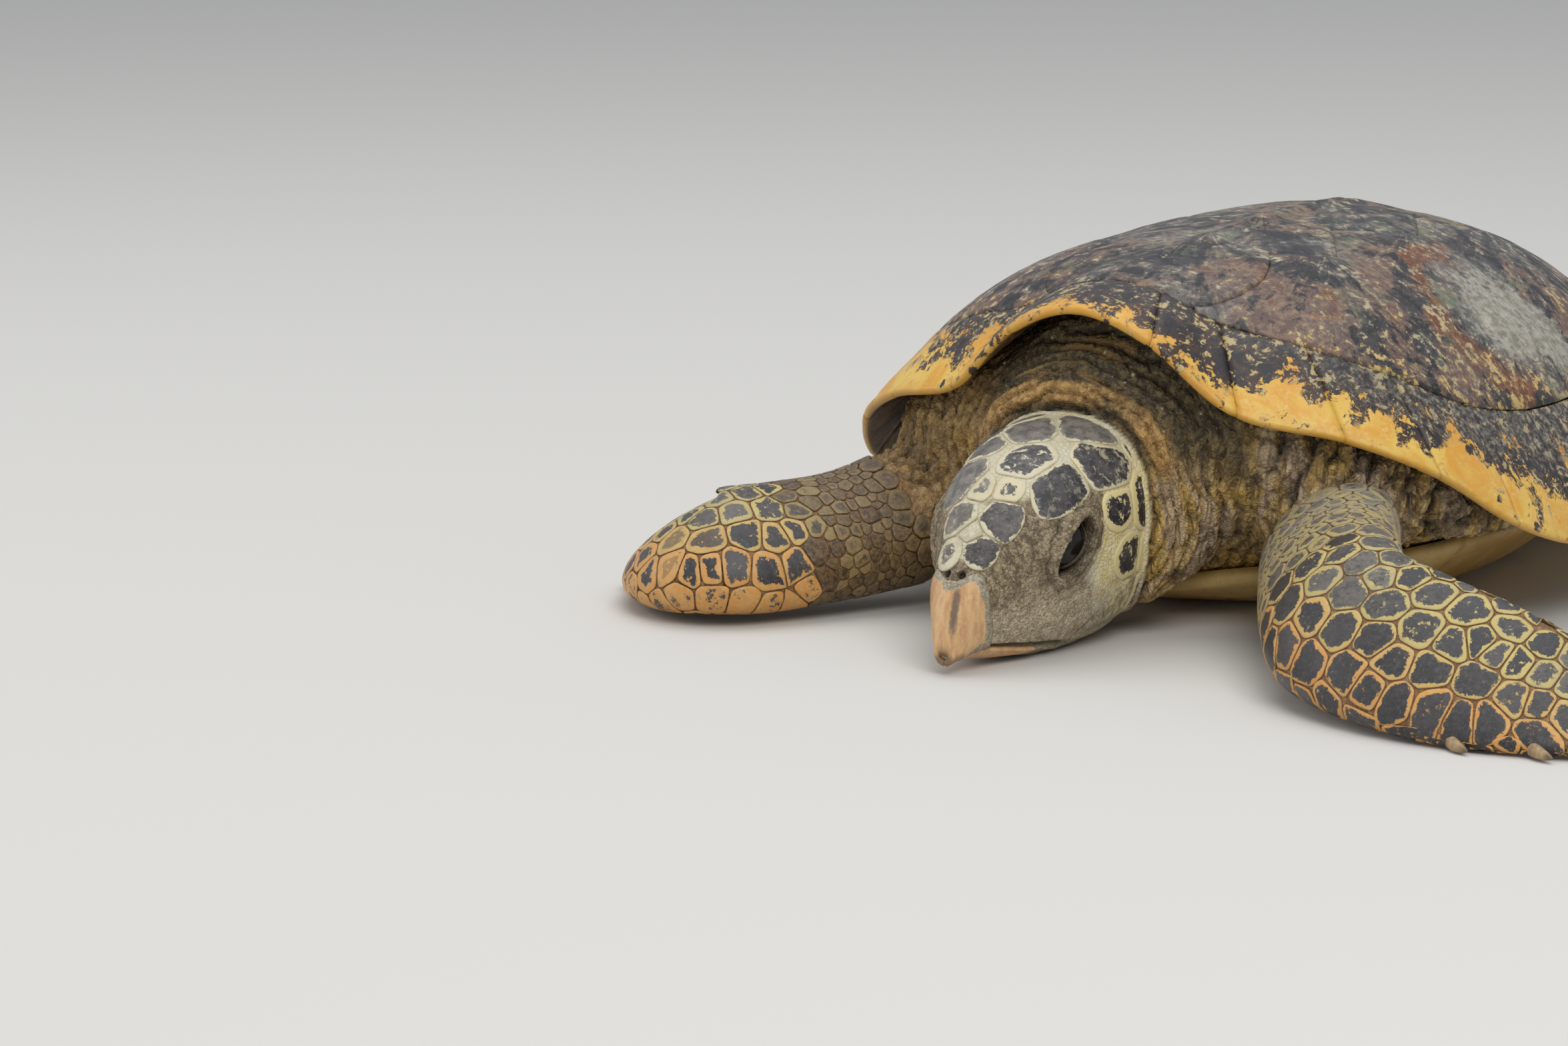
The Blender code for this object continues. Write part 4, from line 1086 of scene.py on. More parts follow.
def limb_seeds(label, start, big_from, long_scale, small_scale):
    """Small scales near the shoulder, then long rows of big ones to the tip."""
    sections, side = LIMBS[label]
    last = len(sections) - 1
    right = 1 if label == "front_flipper_right" else 0
    number = sum(map(ord, label)) % 97
    ring = limb_ring(sections, (start + big_from) / 2, side, full_turn(48), -SKIN_DEPTH)
    girth = sum((a - b).length for a, b in neighbours(ring))
    total = walk(sections, side, pi / 2, 0, last)[-1][0]
    seeds = []

    def add(position, turn, room, size, **looks):
        near, far = max(position - 0.05, 0), min(position + 0.05, last)
        point, before, after = (limb_ring(sections, at, side, [turn], -SKIN_DEPTH)[0]
                                for at in (position, near, far))
        along = mirror(limb_frame(sections, position)[1], side)
        axis = limb_frame(sections, far)[0] - limb_frame(sections, near)[0]
        if (after - before).dot(along) < CROOK * axis.length:
            return
        spot = (position / last, (turn / (2 * pi)) % 1.0)
        seeds.append(Seed(point, along, spot, room, size, **looks))

    around_it = 2 * int(girth / small_scale / 2)
    for row in range(around_it):
        turn = 2 * pi * row / around_it
        stations = walk(sections, side, turn, start, big_from - 0.1)
        reached = (0.25 + 0.45 * (row % 2)) * small_scale
        count = 0
        while reached < stations[-1][0]:
            share = reached / stations[-1][0]
            step = small_scale * blend(0.75, 1.5, share)
            nudge = 0.25 * (chance(count, row, number) - 0.5) * 2 * pi / around_it
            spotted = right * clamp(cos(turn - 0.5))
            add(station(stations, reached), turn + nudge, (1.3 * step, 1.2 * small_scale),
                0.85 + 0.3 * chance(row, number, count),
                dark=(0.7 + 0.3 * chance(count, number, row)) * (1 - 0.3 * spotted),
                tone=0.8 * chance(row, count), lead=0.5 * clamp(cos(turn)) * share,
                dust=(0.9 - 0.5 * share) * (1 - 0.6 * right),
                shade=blend(0.15, 0.88 - 0.45 * share * chance(row, count, 11), right))
            reached += step * (0.92 + 0.16 * chance(row, count, number + 5))
            count += 1
    small = len(seeds)
    for row, (degrees, size) in enumerate(FLIPPER_ROWS):
        stations = walk(sections, side, radians(degrees), big_from, last - 0.12)
        reached = (0.35 + 0.5 * (row % 2)) * long_scale
        count = 0
        while reached < stations[-1][0]:
            share = reached / stations[-1][0]
            step = long_scale * blend(1.0, 0.62, share ** 2) * (
                0.8 + 0.4 * chance(row, count, number))
            turn = radians(degrees + 6 * (chance(count, row, number + 9) - 0.5))
            spotted = right * (row == 0)
            add(station(stations, reached), turn, (1.3 * long_scale, 0.036 * size), size,
                dark=(0.8 + 0.2 * chance(count, number, row)) * (1 - 0.42 * spotted)
                - 0.16 * right * (1 - share),
                tone=0.55 * chance(row, count, 4) + 0.3 * (turn > 1.6) * chance(count, row),
                lead=clamp(1.3 * cos(turn - 0.1) - 0.1),
                dust=0.08 + 0.6 * smooth(1.2, 2.4, turn) * chance(row, count, 7))
            reached += step
            count += 1
    big = [seed.place for seed in seeds[small:]]
    kept = [seed for seed in seeds[:small]
            if min((seed.place - place).length for place in big) > 0.95 * small_scale]
    return kept + seeds[small:], (total, girth)


# Shields of the head: section and degrees from the crown, room along and across in mm,
# weight against its neighbours, how dark, how grey, how yellow its rim, dust.
HEAD_SHIELDS = [
    (2.55, 22, 40, 30, 1.2, 1.0, 0.95, 0.15, 0.15),
    (3.3, -4, 34, 24, 1.05, 0.95, 0.8, 0.0, 0.15),
    (3.95, -24, 22, 18, 0.8, 0.95, 0.65, 0.0, 0.1),
    (3.25, 50, 34, 30, 1.25, 0.9, 0.2, 0.3, 0.0),
    (3.05, -46, 34, 28, 1.2, 1.0, 0.4, 0.1, 0.0),
    (4.62, 11, 28, 22, 1.15, 0.8, 0.25, 0.0, 0.0),
    (5.62, 13, 14, 12, 0.64, 0.75, 0.6, 0.2, 0.1),
    (5.72, -7, 14, 11, 0.62, 0.7, 0.9, 0.1, 0.2),
    (5.3, -30, 34, 22, 1.1, 1.0, 0.9, 0.0, 0.15),
    (4.78, 42, 34, 22, 1.15, 0.92, 0.05, 0.1, 0.05),
    (6.62, 24, 22, 17, 1.0, 0.98, 0.15, 0.0, 0.15),
    (6.74, -20, 22, 16, 0.95, 0.9, 0.9, 0.0, 0.35),
    (7.8, 28, 15, 13, 0.85, 1.0, 0.0, 0.0, 0.15),
    (8.1, -22, 14, 12, 0.8, 0.75, 0.9, 0.0, 0.35),
    (2.45, 82, 30, 24, 1.1, 0.84, 0.0, 1.0, 0.0),
    (3.44, 78, 20, 18, 0.9, 0.82, 0.0, 1.0, 0.0),
    (3.22, 101, 20, 18, 0.9, 0.8, 0.0, 1.0, 0.1),
    (2.5, 124, 24, 20, 1.0, 0.85, 0.0, 1.0, 0.25),
    (1.8, 52, 30, 26, 1.0, 0.98, 0.25, 0.5, 0.0),
    (2.55, 104, 18, 16, 0.8, 0.3, 0.1, 1.0, 0.0),
    (1.4, 108, 24, 22, 0.95, 0.6, 0.0, 1.0, 0.1),
    (1.65, 132, 24, 20, 0.95, 0.5, 0.4, 0.7, 0.6),
    (3.2, 124, 22, 18, 0.95, 0.3, 0.3, 0.7, 0.9),
    (2.15, -28, 30, 26, 1.0, 0.95, 0.7, 0.2, 0.1),
    (2.45, -78, 30, 24, 1.1, 0.84, 0.0, 1.0, 0.0),
    (3.44, -72, 20, 18, 0.9, 0.82, 0.0, 1.0, 0.0),
    (3.22, -96, 20, 18, 0.9, 0.8, 0.0, 1.0, 0.1),
    (2.5, -120, 24, 20, 1.0, 0.72, 0.0, 1.0, 0.25),
    (1.7, -56, 28, 26, 1.0, 0.95, 0.3, 0.5, 0.0),
    (1.65, -128, 24, 20, 0.95, 0.5, 0.4, 0.7, 0.6),
    (3.2, -120, 22, 18, 0.95, 0.3, 0.3, 0.7, 0.9), (7.3, 2, 12, 9, 0.55, 0.6, 0.8, 0.0, 0.5)]


def head_seeds():
    seeds = []
    for position, degrees, long, wide, size, dark, tone, yellow, dust in HEAD_SHIELDS:
        point = head_point(position, radians(degrees), -SKIN_DEPTH)
        along = (head_point(position + 0.2, radians(degrees))
                 - head_point(position - 0.2, radians(degrees)))
        spot = (position / (len(HEAD) - 1), (degrees / 360) % 1.0)
        seeds.append(Seed(point, along, spot, (long / 1000, wide / 1000), size,
                          dark=dark, tone=tone, lead=yellow, dust=dust))
    return seeds


# ---------------------------------------------------------------- the skin

def eye_frame(side):
    """The eye's place: its slit runs along x, y points to the nape, z out of the head."""
    x_axis = Vector((-0.211 * side, -0.708, -0.674)).normalized()
    z_axis = Vector((0.95 * side, -0.31, 0.03))
    z_axis = (z_axis - x_axis * z_axis.dot(x_axis)).normalized()
    y_axis = Vector((0.23 * side, 0.634, -0.738))
    turned = Matrix((x_axis, y_axis, z_axis)).transposed().to_4x4()
    middle = Vector((EYE_SLOT[0] * side, -EYE_SLOT[1], EYE_SLOT[2]))
    return HEAD_FRAME @ Matrix.Translation(middle) @ turned


def mouth_line(forward):
    """Height of the bite line along the head."""
    return -0.0585 - 0.3 * max(0.082 - forward, 0) + 1.2 * max(0.0 - forward, 0)


def refine(shape, chosen):
    edges = {edge for face in shape.faces if chosen(face.calc_center_median())
             for edge in face.edges}
    bmesh.ops.subdivide_edges(shape, edges=list(edges), cuts=1, use_grid_fill=True)


ZONE_ROWS = 70                  # rings and turns of the points that mark a limb's skin
ZONE_TURNS = 36
ZONE_REACH = 0.007              # how far from them the skin still is the limb's
BEHIND_NECK = -0.12             # where the neck's folds give way to the body's, in y


class Sculpt:
    """Works out, for a point of the skin, its zones and how far it moves."""

    def __init__(self, limbs):
        self.head = HEAD_FRAME.inverted()
        self.eyes = [(eye_frame(side), eye_frame(side).inverted()) for _, side in SIDES]
        self.limbs = []
        for name, (sections, side) in limbs.items():
            rings = limb_rings(sections, side, ZONE_ROWS, ZONE_TURNS)
            tree = KDTree(len(rings) * ZONE_TURNS)
            for row, ring in enumerate(rings):
                for column, point in enumerate(ring):
                    tree.insert(point, row * ZONE_TURNS + column)
            tree.balance()
            self.limbs.append((name, tree, len(sections) - 1))

    def limb_zone(self, point):
        """How much a point belongs to a limb beyond its shoulder."""
        best = 0.0
        for name, tree, last in self.limbs:
            _, index, distance = tree.find(point)
            if distance < ZONE_REACH:
                position = (index // ZONE_TURNS) * last / ZONE_ROWS
                start = 1.1 if name.startswith("front") else 0.9
                best = max(best, smooth(start, start + 0.8, position))
        return best

    def head_zone(self, local):
        """How much a point belongs to the head, and how far out it lies: 1 on its surface."""
        forward = -local.y
        if forward < -0.135 or forward > 0.13 or abs(local.x) > 0.13:
            return 0.0, 9.0
        position = len(HEAD) - 1 if forward > HEAD[-1][0] else 0.0
        for index, (low, high) in enumerate(zip(HEAD, HEAD[1:])):
            if low[0] <= forward <= high[0]:
                position = index + (forward - low[0]) / (high[0] - low[0])
        _, width, top, bottom = spline(HEAD, position)
        middle = bottom + HEAD_WIDEST * (top - bottom)
        reach = (top - middle) if local.z > middle else (middle - bottom)
        out = ((abs(local.x) / width) ** HEAD_POWER
               + (abs(local.z - middle) / reach) ** HEAD_POWER) ** (1 / HEAD_POWER)
        inside = smooth(1.055, 1.03, out) * smooth(-0.128, -0.108, forward)
        return inside, out

    def move(self, point, normal):
        """The moved point and its values for the zones of the material."""
        zone = dict(head=0.0, neck=0.0, limb=0.0, crease_shade=0.0, yellow=0.0, grime=0.0,
                    brown=0.0, stripe=0.0, band=0.0)
        moved = Vector(point)
        local = self.head @ point
        zone["head"], out = self.head_zone(local)
        zone["limb"] = self.limb_zone(point) * (1 - zone["head"])
        loose = (1 - zone["head"]) * (1 - zone["limb"])
        lift = 0.0
        if loose > 0 and point.y < BEHIND_NECK:
            lift -= loose * self.loose_folds(point, local, out, loose, zone)
        elif loose > 0:
            warp = 1.8 * rough(point, 0.05, 2)
            crease = wrinkle((point.y + 0.5 * point.z) / 0.017 + warp)
            lift -= 0.0022 * crease * loose
            # painted shade in the creases of the body behind the neck
            zone["crease_shade"] = 0.7 * crease ** 2 * loose
        lift += 0.0005 * rough(point, 0.009, 3) * (1 - 0.6 * zone["limb"])
        if zone["head"] > 0:
            moved, lift = self.shape_face(point, local, lift, zone)
        return moved + normal * lift, zone

    def loose_folds(self, point, local, out, loose, zone):
        """How deep the folds of neck and shoulders lie; the zones get their part."""
        radial = sqrt((point.x - NECK_AXIS[0]) ** 2 + (point.z - NECK_AXIS[1]) ** 2)
        near_neck = smooth(0.165, 0.115, radial) * smooth(-0.2, -0.27, point.y)
        warp = (0.01 * rough(point, 0.06, 2)
                + 0.004 * rough(point + Vector((9, 0, 0)), 0.02))
        ring = radial + 0.75 * (point.y + 0.35) + warp
        split = 0.5 + 0.5 * rough(point, 0.03, 2)
        coarse = wrinkle(ring / 0.0125)
        small = wrinkle(ring / 0.0045 + 2.0 * rough(point, 0.03, 2))
        neck_depth = 0.007 * coarse * (0.5 + 0.5 * split) + 0.0018 * small
        angle = atan2(point.x - NECK_AXIS[0], point.z - NECK_AXIS[1])
        zone["stripe"] = 0.5 + 0.7 * rough((ring * 90, angle * 1.3, 0.5), 1.0, 3)
        slope = 0.83 * abs(point.x) + 0.55 * point.y
        sweep = (slope - 0.35 * point.z + 0.016 * rough(point, 0.07, 2)
                 + 0.005 * rough(point + Vector((0, 9, 0)), 0.022))
        coarse_side = wrinkle(sweep / 0.019)
        small_side = wrinkle(sweep / 0.0062 + 1.6 * rough(point, 0.028, 2))
        cross = wrinkle((point.z + 0.4 * point.y) / 0.012 + 2.2 * rough(point, 0.035, 2))
        side_depth = (0.0078 * coarse_side * (0.4 + 0.6 * split) + 0.002 * small_side
                      + 0.0014 * cross)
        depth = blend(side_depth, neck_depth, near_neck)
        spread = noise.voronoi(Vector((point.x, point.y, 0.55 * point.z)) / 0.0105
                               + Vector((0, 0, 0.8 * split)))[0]
        knob = smooth(0.0, 0.35, spread[1] - spread[0])
        knobs = (0.003 if point.x < 0 else 0.002) * (1 - 0.7 * near_neck)
        depth += knobs * (1 - knob) - 0.3 * knobs
        crease = smooth(1.02, 1.04, out) * smooth(1.11, 1.05, out)
        zone["band"] = smooth(1.1, 1.17, out) * smooth(1.42, 1.34, out) * (
            smooth(0.0, 0.02, local.z)) * smooth(-0.4, 0.2, rough(
                point + Vector((3, 0, 0)), 0.05, 2))
        depth += 0.003 * crease - 0.0025 * zone["band"]
        zone["band"] = max(zone["band"], 0.7 * smooth(-0.075, -0.125, point.x))
        # painted shade in the folds, between the knobs and in the crease behind the head
        zone["crease_shade"] = clamp(blend(
            0.85 * coarse_side ** 2 + 0.35 * small_side ** 2 + 0.5 * (1 - knob) ** 2,
            (0.85 * coarse ** 2 + 0.35 * small ** 2) * (1 - 0.6 * zone["band"]),
            near_neck) + 0.65 * crease) * loose
        # the top of the neck under the shell's arch, which gets the dark nape colour with its
        # painted shade
        shaded_nape = smooth(0.105, 0.15, point.z) * smooth(0.15, 0.105, abs(point.x + 0.01))
        zone["neck"] = clamp(shaded_nape) * loose * smooth(-0.16, -0.22, point.y)
        return depth

    def shape_face(self, point, local, lift, zone):
        """Lids, nostrils, jaw line and throat of the head."""
        moved = Vector(point)
        forward = -local.y
        throat = smooth(-0.055, -0.085, local.z)
        pleat = wrinkle(local.x / 0.011 + 0.8 * rough(point, 0.04, 2))
        lift -= 0.0016 * throat * pleat
        # painted shade in the pleats of the throat
        zone["crease_shade"] = max(zone["crease_shade"], 0.5 * throat * pleat ** 2)
        if -0.03 < forward < 0.085 and abs(local.x) > 0.012:
            off = local.z - mouth_line(forward)
            groove = smooth(0.003, 0.0006, abs(off)) * smooth(-0.03, -0.005, forward)
            lift -= 0.0022 * groove * zone["head"]
            # painted shade in the groove of the jaw line
            zone["crease_shade"] = max(zone["crease_shade"], 0.8 * groove)
        behind_eye = smooth(0.0, -0.018, forward) * smooth(-0.056, -0.046, local.z) * (
            smooth(0.05, 0.02, local.z))
        zone["yellow"] = clamp(behind_eye + 0.45 * smooth(-0.07, -0.1, forward))
        jaw = smooth(-0.02, -0.042, local.z + 0.01 * rough(point, 0.02, 2)
                     + 0.022 * smooth(0.004, -0.016, forward))
        brow = blend(0.034, 0.006, smooth(0.03, 0.08, forward))
        snout = smooth(-0.006, 0.01, forward) * smooth(brow + 0.003, brow - 0.003, local.z
                                                        + 0.004 * rough(point, 0.008, 2))
        zone["grime"] = clamp(max(jaw, snout))
        zone["brown"] = snout * smooth(-0.046, -0.022, local.z + 0.012 * rough(point, 0.015))
        for place, back in self.eyes:
            at = back @ point
            if at.length > 0.055:
                continue
            wide = sqrt((at.x / LIDS[0]) ** 2 + ((at.y - 0.001) / LIDS[1]) ** 2)
            slit = sqrt((at.x / SLIT[0]) ** 2 + (at.y / SLIT[1]) ** 2)
            rise = LID_BULGE * smooth(1.3, 0.45, wide)
            creases = wrinkle(wide * 3.1 + 0.35 * rough(point, 0.012, 2))
            around_lids = smooth(1.35, 1.0, wide) * smooth(1.1, 1.5, slit)
            rise -= 0.0018 * creases * around_lids
            rise += 0.0004 * rough(point, 0.0022, 2) * smooth(1.5, 1.0, wide)
            fold_line = at.y - 0.005 + 9 * at.x * at.x
            inner_fold = smooth(0.003, 0.0012, abs(fold_line)) * smooth(1.0, 0.85, slit)
            ball = 1 - (at.x / EYE_SIZE[0]) ** 2 - (at.y / EYE_SIZE[1]) ** 2
            ball_height = -EYE_SINK + EYE_SIZE[2] * sqrt(max(ball, 0.02))
            sunk = blend(-SLIT_DEPTH, ball_height + 0.001, inner_fold)
            opened = smooth(1.1, 0.94, slit)
            rise = blend(rise, sunk, opened)
            moved = moved + (place.to_3x3() @ Vector((0, 0, 1))) * rise
            near = smooth(1.55, 1.25, wide + 0.3 * rough(point, 0.008, 2)
                          + 0.55 * smooth(0.006, 0.02, at.y))
            zone["grime"] = max(zone["grime"], near)
            zone["brown"] = max(zone["brown"], near * smooth(-0.03, -0.005, local.z))
            shadow = smooth(0.002, 0.008, at.y) * smooth(0.021, 0.013, at.y) * (
                smooth(0.026, 0.014, abs(at.x)))
            # painted shade in the creases round the lids, behind the inner fold and in the
            # open slit
            zone["crease_shade"] = max(zone["crease_shade"], 0.85 * creases ** 2 * around_lids,
                                 0.75 * shadow * (0.35 + 0.65 * creases),
                                 opened * (0.9 - 0.2 * inner_fold))
            lift *= 1 - 0.7 * near
        for side in (1, -1):
            across = local.x - NOSTRIL[0] * side
            pit = sqrt(across ** 2 + (forward - NOSTRIL[1]) ** 2
                       + (local.z - NOSTRIL[2]) ** 2)
            lift += 0.0008 * smooth(0.006, 0.004, pit) - 0.005 * smooth(0.0036, 0.0016, pit)
            # painted shade in the nostrils
            zone["crease_shade"] = max(zone["crease_shade"], smooth(0.0036, 0.0022, pit))
        return moved, lift


def gathered_skin():
    """All the flesh as one closed mesh without seams."""
    bodies = [trunk_rings(), skin_rings(head_point, HEAD, 66, 72),
              skin_rings(neck_point, NECK, 30, 72)]
    for sections, side in LIMBS.values():
        bodies.append(limb_rings(sections, side, 70, 44, -SKIN_DEPTH))
    bodies.append(limb_rings(TAIL, 1, 30, 32, -SKIN_DEPTH))
    points = []
    faces = []
    for rings in bodies:
        add_rings(points, faces, rings)
    mesh = bpy.data.meshes.new("flesh")
    mesh.from_pydata([tuple(point) for point in points], [], faces)
    mend(mesh, WELD)
    source = link("flesh", mesh)
    grown = source.modifiers.new("One skin", "REMESH")
    grown.mode = "VOXEL"
    grown.voxel_size = SKIN_CELL
    graph = bpy.context.evaluated_depsgraph_get()
    whole = bpy.data.meshes.new_from_object(source.evaluated_get(graph))
    bpy.data.objects.remove(source)
    return whole


def relax(shape, weight, times):
    """Smooth the points by their weight, to close creases where bodies meet."""
    for _ in range(times):
        moves = []
        for point in shape.verts:
            amount = weight[point.index]
            if amount > 0:
                middle = sum((edge.other_vert(point).co for edge in point.link_edges),
                             Vector()) / len(point.link_edges)
                moves.append((point, point.co.lerp(middle, amount)))
        for point, place in moves:
            point.co = place


# Where limbs and tail leave the body: the middle of the join and how far it reaches.
JOINS = [(0.165, -0.275, 0.085, 0.085), (-0.165, -0.275, 0.078, 0.085),
         (0.115, 0.235, 0.045, 0.06), (-0.115, 0.235, 0.045, 0.06),
         (0.0, 0.27, 0.045, 0.05)]
JOIN_ROUNDS = 14                # how often the skin is smoothed there


def join_weight(point):
    """Where limbs and body flow into each other."""
    best = 0.0
    for x, y, z, reach in JOINS:
        far = (point - Vector((x, y, z))).length / reach
        best = max(best, smooth(1.25, 0.75, far))
    return 0.55 * best if point.z > 0.004 else 0.0


def make_skin(material):
    """One skin over all the flesh, with folds, lids, nostrils and jaw."""
    mesh = gathered_skin()
    shape = bmesh.new()
    shape.from_mesh(mesh)
    shape.verts.ensure_lookup_table()
    relax(shape, [join_weight(point.co) for point in shape.verts], JOIN_ROUNDS)
    back = HEAD_FRAME.inverted()
    eyes = [eye_frame(side).inverted() for side in (1, -1)]

    def in_front(point):
        if point.y > -0.165 or point.z < 0.006 or abs(point.x) > 0.25:
            return False
        return point.y > -0.4 or abs(point.x + 0.012) < 0.09

    def on_face(point):
        local = back @ point
        near_mouth = (abs(local.z - mouth_line(-local.y)) < 0.006
                      and -0.02 < -local.y < 0.085)
        near_nose = -local.y > 0.078 and local.z > -0.015
        return near_mouth or near_nose or eye_gap(point) < LID_CELLS[0]

    def eye_gap(point):
        return min((eye @ point).length for eye in eyes)

    refine(shape, in_front)
    refine(shape, on_face)
    refine(shape, lambda point: eye_gap(point) < LID_CELLS[1])
    refine(shape, lambda point: eye_gap(point) < LID_CELLS[2])
    shape.normal_update()
    sculpt = Sculpt(LIMBS)
    places = []
    zones = []
    for point in shape.verts:
        place, zone = sculpt.move(point.co, point.normal)
        places.append(on_floor(place, 0.0006))
        zones.append(zone)
    for point, place in zip(shape.verts, places):
        point.co = place
    shape.to_mesh(mesh)
    shape.free()
    mesh.materials.clear()
    mesh.name = "skin"
    dress("skin", mesh, material, "skin", ("head", "neck", "trunk", "tail", *LIMBS),
          {key: [zone[key] for zone in zones] for key in zones[0]})


# ---------------------------------------------------------------- the shell

def slab(rows, row_open=(False, False)):
    """A closed plate from rows of (top point, bottom point)."""
    count = len(rows[0])
    points = [top for row in rows for top, _ in row]
    points += [bottom for row in rows for _, bottom in row]
    half = len(rows) * count
    faces = grid_faces(len(rows), count)
    faces += [tuple(half + index for index in reversed(face)) for face in list(faces)]
    for row in range(len(rows) - 1):
        for column in (0, count - 1):
            here = row * count + column
            faces.append((here, here + count, here + count + half, here + half))
    for row, is_open in ((0, row_open[0]), (len(rows) - 1, row_open[1])):
        if not is_open:
            for column in range(count - 1):
                here = row * count + column
                faces.append((here, here + 1, here + 1 + half, here + half))
    return points, faces


SHELL_WIDTH = 0.26              # about how many metres a share of 1 across the shell is
SEAM_APART = 0.085              # and how many lie between two marginal seams
WORN_PATCH = (Vector((0.205, -0.045, 0.215)), 0.09)
RED_BAND = (0.095, 0.02)        # how far it runs from the patch's middle, and its width


def scute(name, node, start, stop, inner_edge, outer_edge, sides, last_k, material, number):
    """One big scute from seam to seam, its rear edge lapping over the next one."""
    lap = OVERLAP_K if stop not in (LAST, VERTEBRAL_TIPS[1]) else -SEAM_K
    last = last_k + lap
    ks = [k for k in steps(0, LAST, LAST * 12) if start + 0.01 < k < last - 0.01]
    ks = [start] + ks + [last]
    shares = steps(-1, 1, 30) if len(sides) == 2 else steps(0, 1, 22)
    core = dome(inner_edge(last_k - 0.15) if len(sides) == 1 else 0.0, last_k - 0.15,
                sides[0], 0.0)
    rows = []
    notes = {"worn": [], "red": [], "edge": []}
    streaks = []
    spots = []
    for k in ks:
        row = []
        progress = (k - start) / (stop - start)
        for share in shares:
            side = sides[0] if len(sides) == 1 else (1 if share >= 0 else -1)
            low = inner_edge(k)
            high = outer_edge(k)
            u = low + (high - low) * abs(share)
            border = (1 - abs(share)) * (high - low) if len(sides) == 2 else (
                min(share, 1 - share) * (high - low))
            point, normal, _ = dome_frame(u, k, side)
            lift = OVERLAP_STEP * smooth(0.55, 1.0, progress)
            lift += 0.0007 * rough(point, 0.05, 2) + 0.00035 * rough(point, 0.012, 3)
            lift -= 0.0006 * smooth(0.003, 0.0, border * SHELL_WIDTH)
            lift -= 0.0005 * smooth(0.004, 0.0, max(last - k, 0) * SEAM_APART)
            bottom = -PLATE if k < last_k - 3 * SEAM_K else lift - 0.0012
            row.append((point + normal * lift, point + normal * min(bottom, lift - 0.001)))
            away = point - core
            angle = atan2(away.x * side, -away.y)
            streaks.append((angle * 5.0, away.length * 7.0, number * 7.3))
            far = (point - WORN_PATCH[0]).length + 0.024 * rough(point, 0.04, 4)
            notes["worn"].append(smooth(WORN_PATCH[1], 0.3 * WORN_PATCH[1], far))
            notes["red"].append(smooth(RED_BAND[1], 0.0, abs(far - RED_BAND[0])) * smooth(
                -0.02, 0.03, WORN_PATCH[0].y - point.y + 0.3 * (WORN_PATCH[0].x - point.x)))
            notes["edge"].append(smooth(0.55, 1.0, u))
            spots.append((0.02 + 0.96 * (abs(share) if len(sides) == 1 else share / 2 + 0.5),
                          0.02 + 0.46 * clamp(progress)))
        rows.append(row)
    points, faces = slab(rows, (start == 0, stop == LAST))
    spots += [(u, 0.52 + (v - 0.02)) for u, v in spots]
    mesh = add_piece(name, points, faces, material, "carapace_scute", [node],
                     {key: column * 2 for key, column in notes.items()}, spots).data
    streak = mesh.attributes.new("streak", "FLOAT_VECTOR", "POINT")
    streak.data.foreach_set("vector", [part for value in streaks * 2 for part in value])
    mend(mesh, WELD)


def tooth(k, first):
    rear_part = clamp((k - TEETH[0]) / (TEETH[1] - TEETH[0]))
    return SERRATION * rear_part * (k - first)


def rim_section(k, side, first, ends):
    """A closed section through a marginal scute with a worn, rounded edge."""
    inner = rim_inner(k)
    worn = 0.0011 * smooth(0.05, 0.0, ends)
    ring = []
    across = []
    for u in steps(inner + 0.002, RIM_TURN, 12):
        point, normal, _ = dome_frame(u, k, side)
        share = (u - inner) / (RIM_TURN - inner)
        lift = 0.0006 * rough(point, 0.03, 3) + 0.00025 * rough(point, 0.008, 2) - worn
        lift -= 0.001 * smooth(0.06, 0.0, share)
        lift += 0.0008 * smooth(0.3, 1.0, share) * smooth(1.0, 0.9, share)
        ring.append(point + normal * lift)
        across.append(share)
    point, normal, outward = dome_frame(RIM_TURN, k, side)
    full = clamp((k - RIM_THICKENS[0]) / (RIM_THICKENS[1] - RIM_THICKENS[0]))
    edge = blend(RIM_EDGE, RIM_PLATE, full)
    radius = edge / 2
    middle = point - normal * radius + outward * (tooth(k, first) + RIM_REACH - radius)
    for turn in steps(84, -72, 8):
        swell = radius + 0.0003 * rough(point + Vector((0, 0, turn)), 0.02, 2) - 0.3 * worn
        ring.append(middle + outward * swell * cos(radians(turn))
                    + normal * swell * sin(radians(turn)))
        across.append(1.0 + 0.25 * (84 - turn) / 156)
    for u in reversed(steps(inner, RIM_TURN, 8)):
        point, normal, _ = dome_frame(u, k, side)
        thick = blend(RIM_PLATE, edge, (u - inner) / (RIM_TURN - inner))
        ring.append(point - normal * (thick - 0.4 * worn))
        across.append(1.3 + 0.3 * (RIM_TURN - u) / (RIM_TURN - inner))
    return ring, across


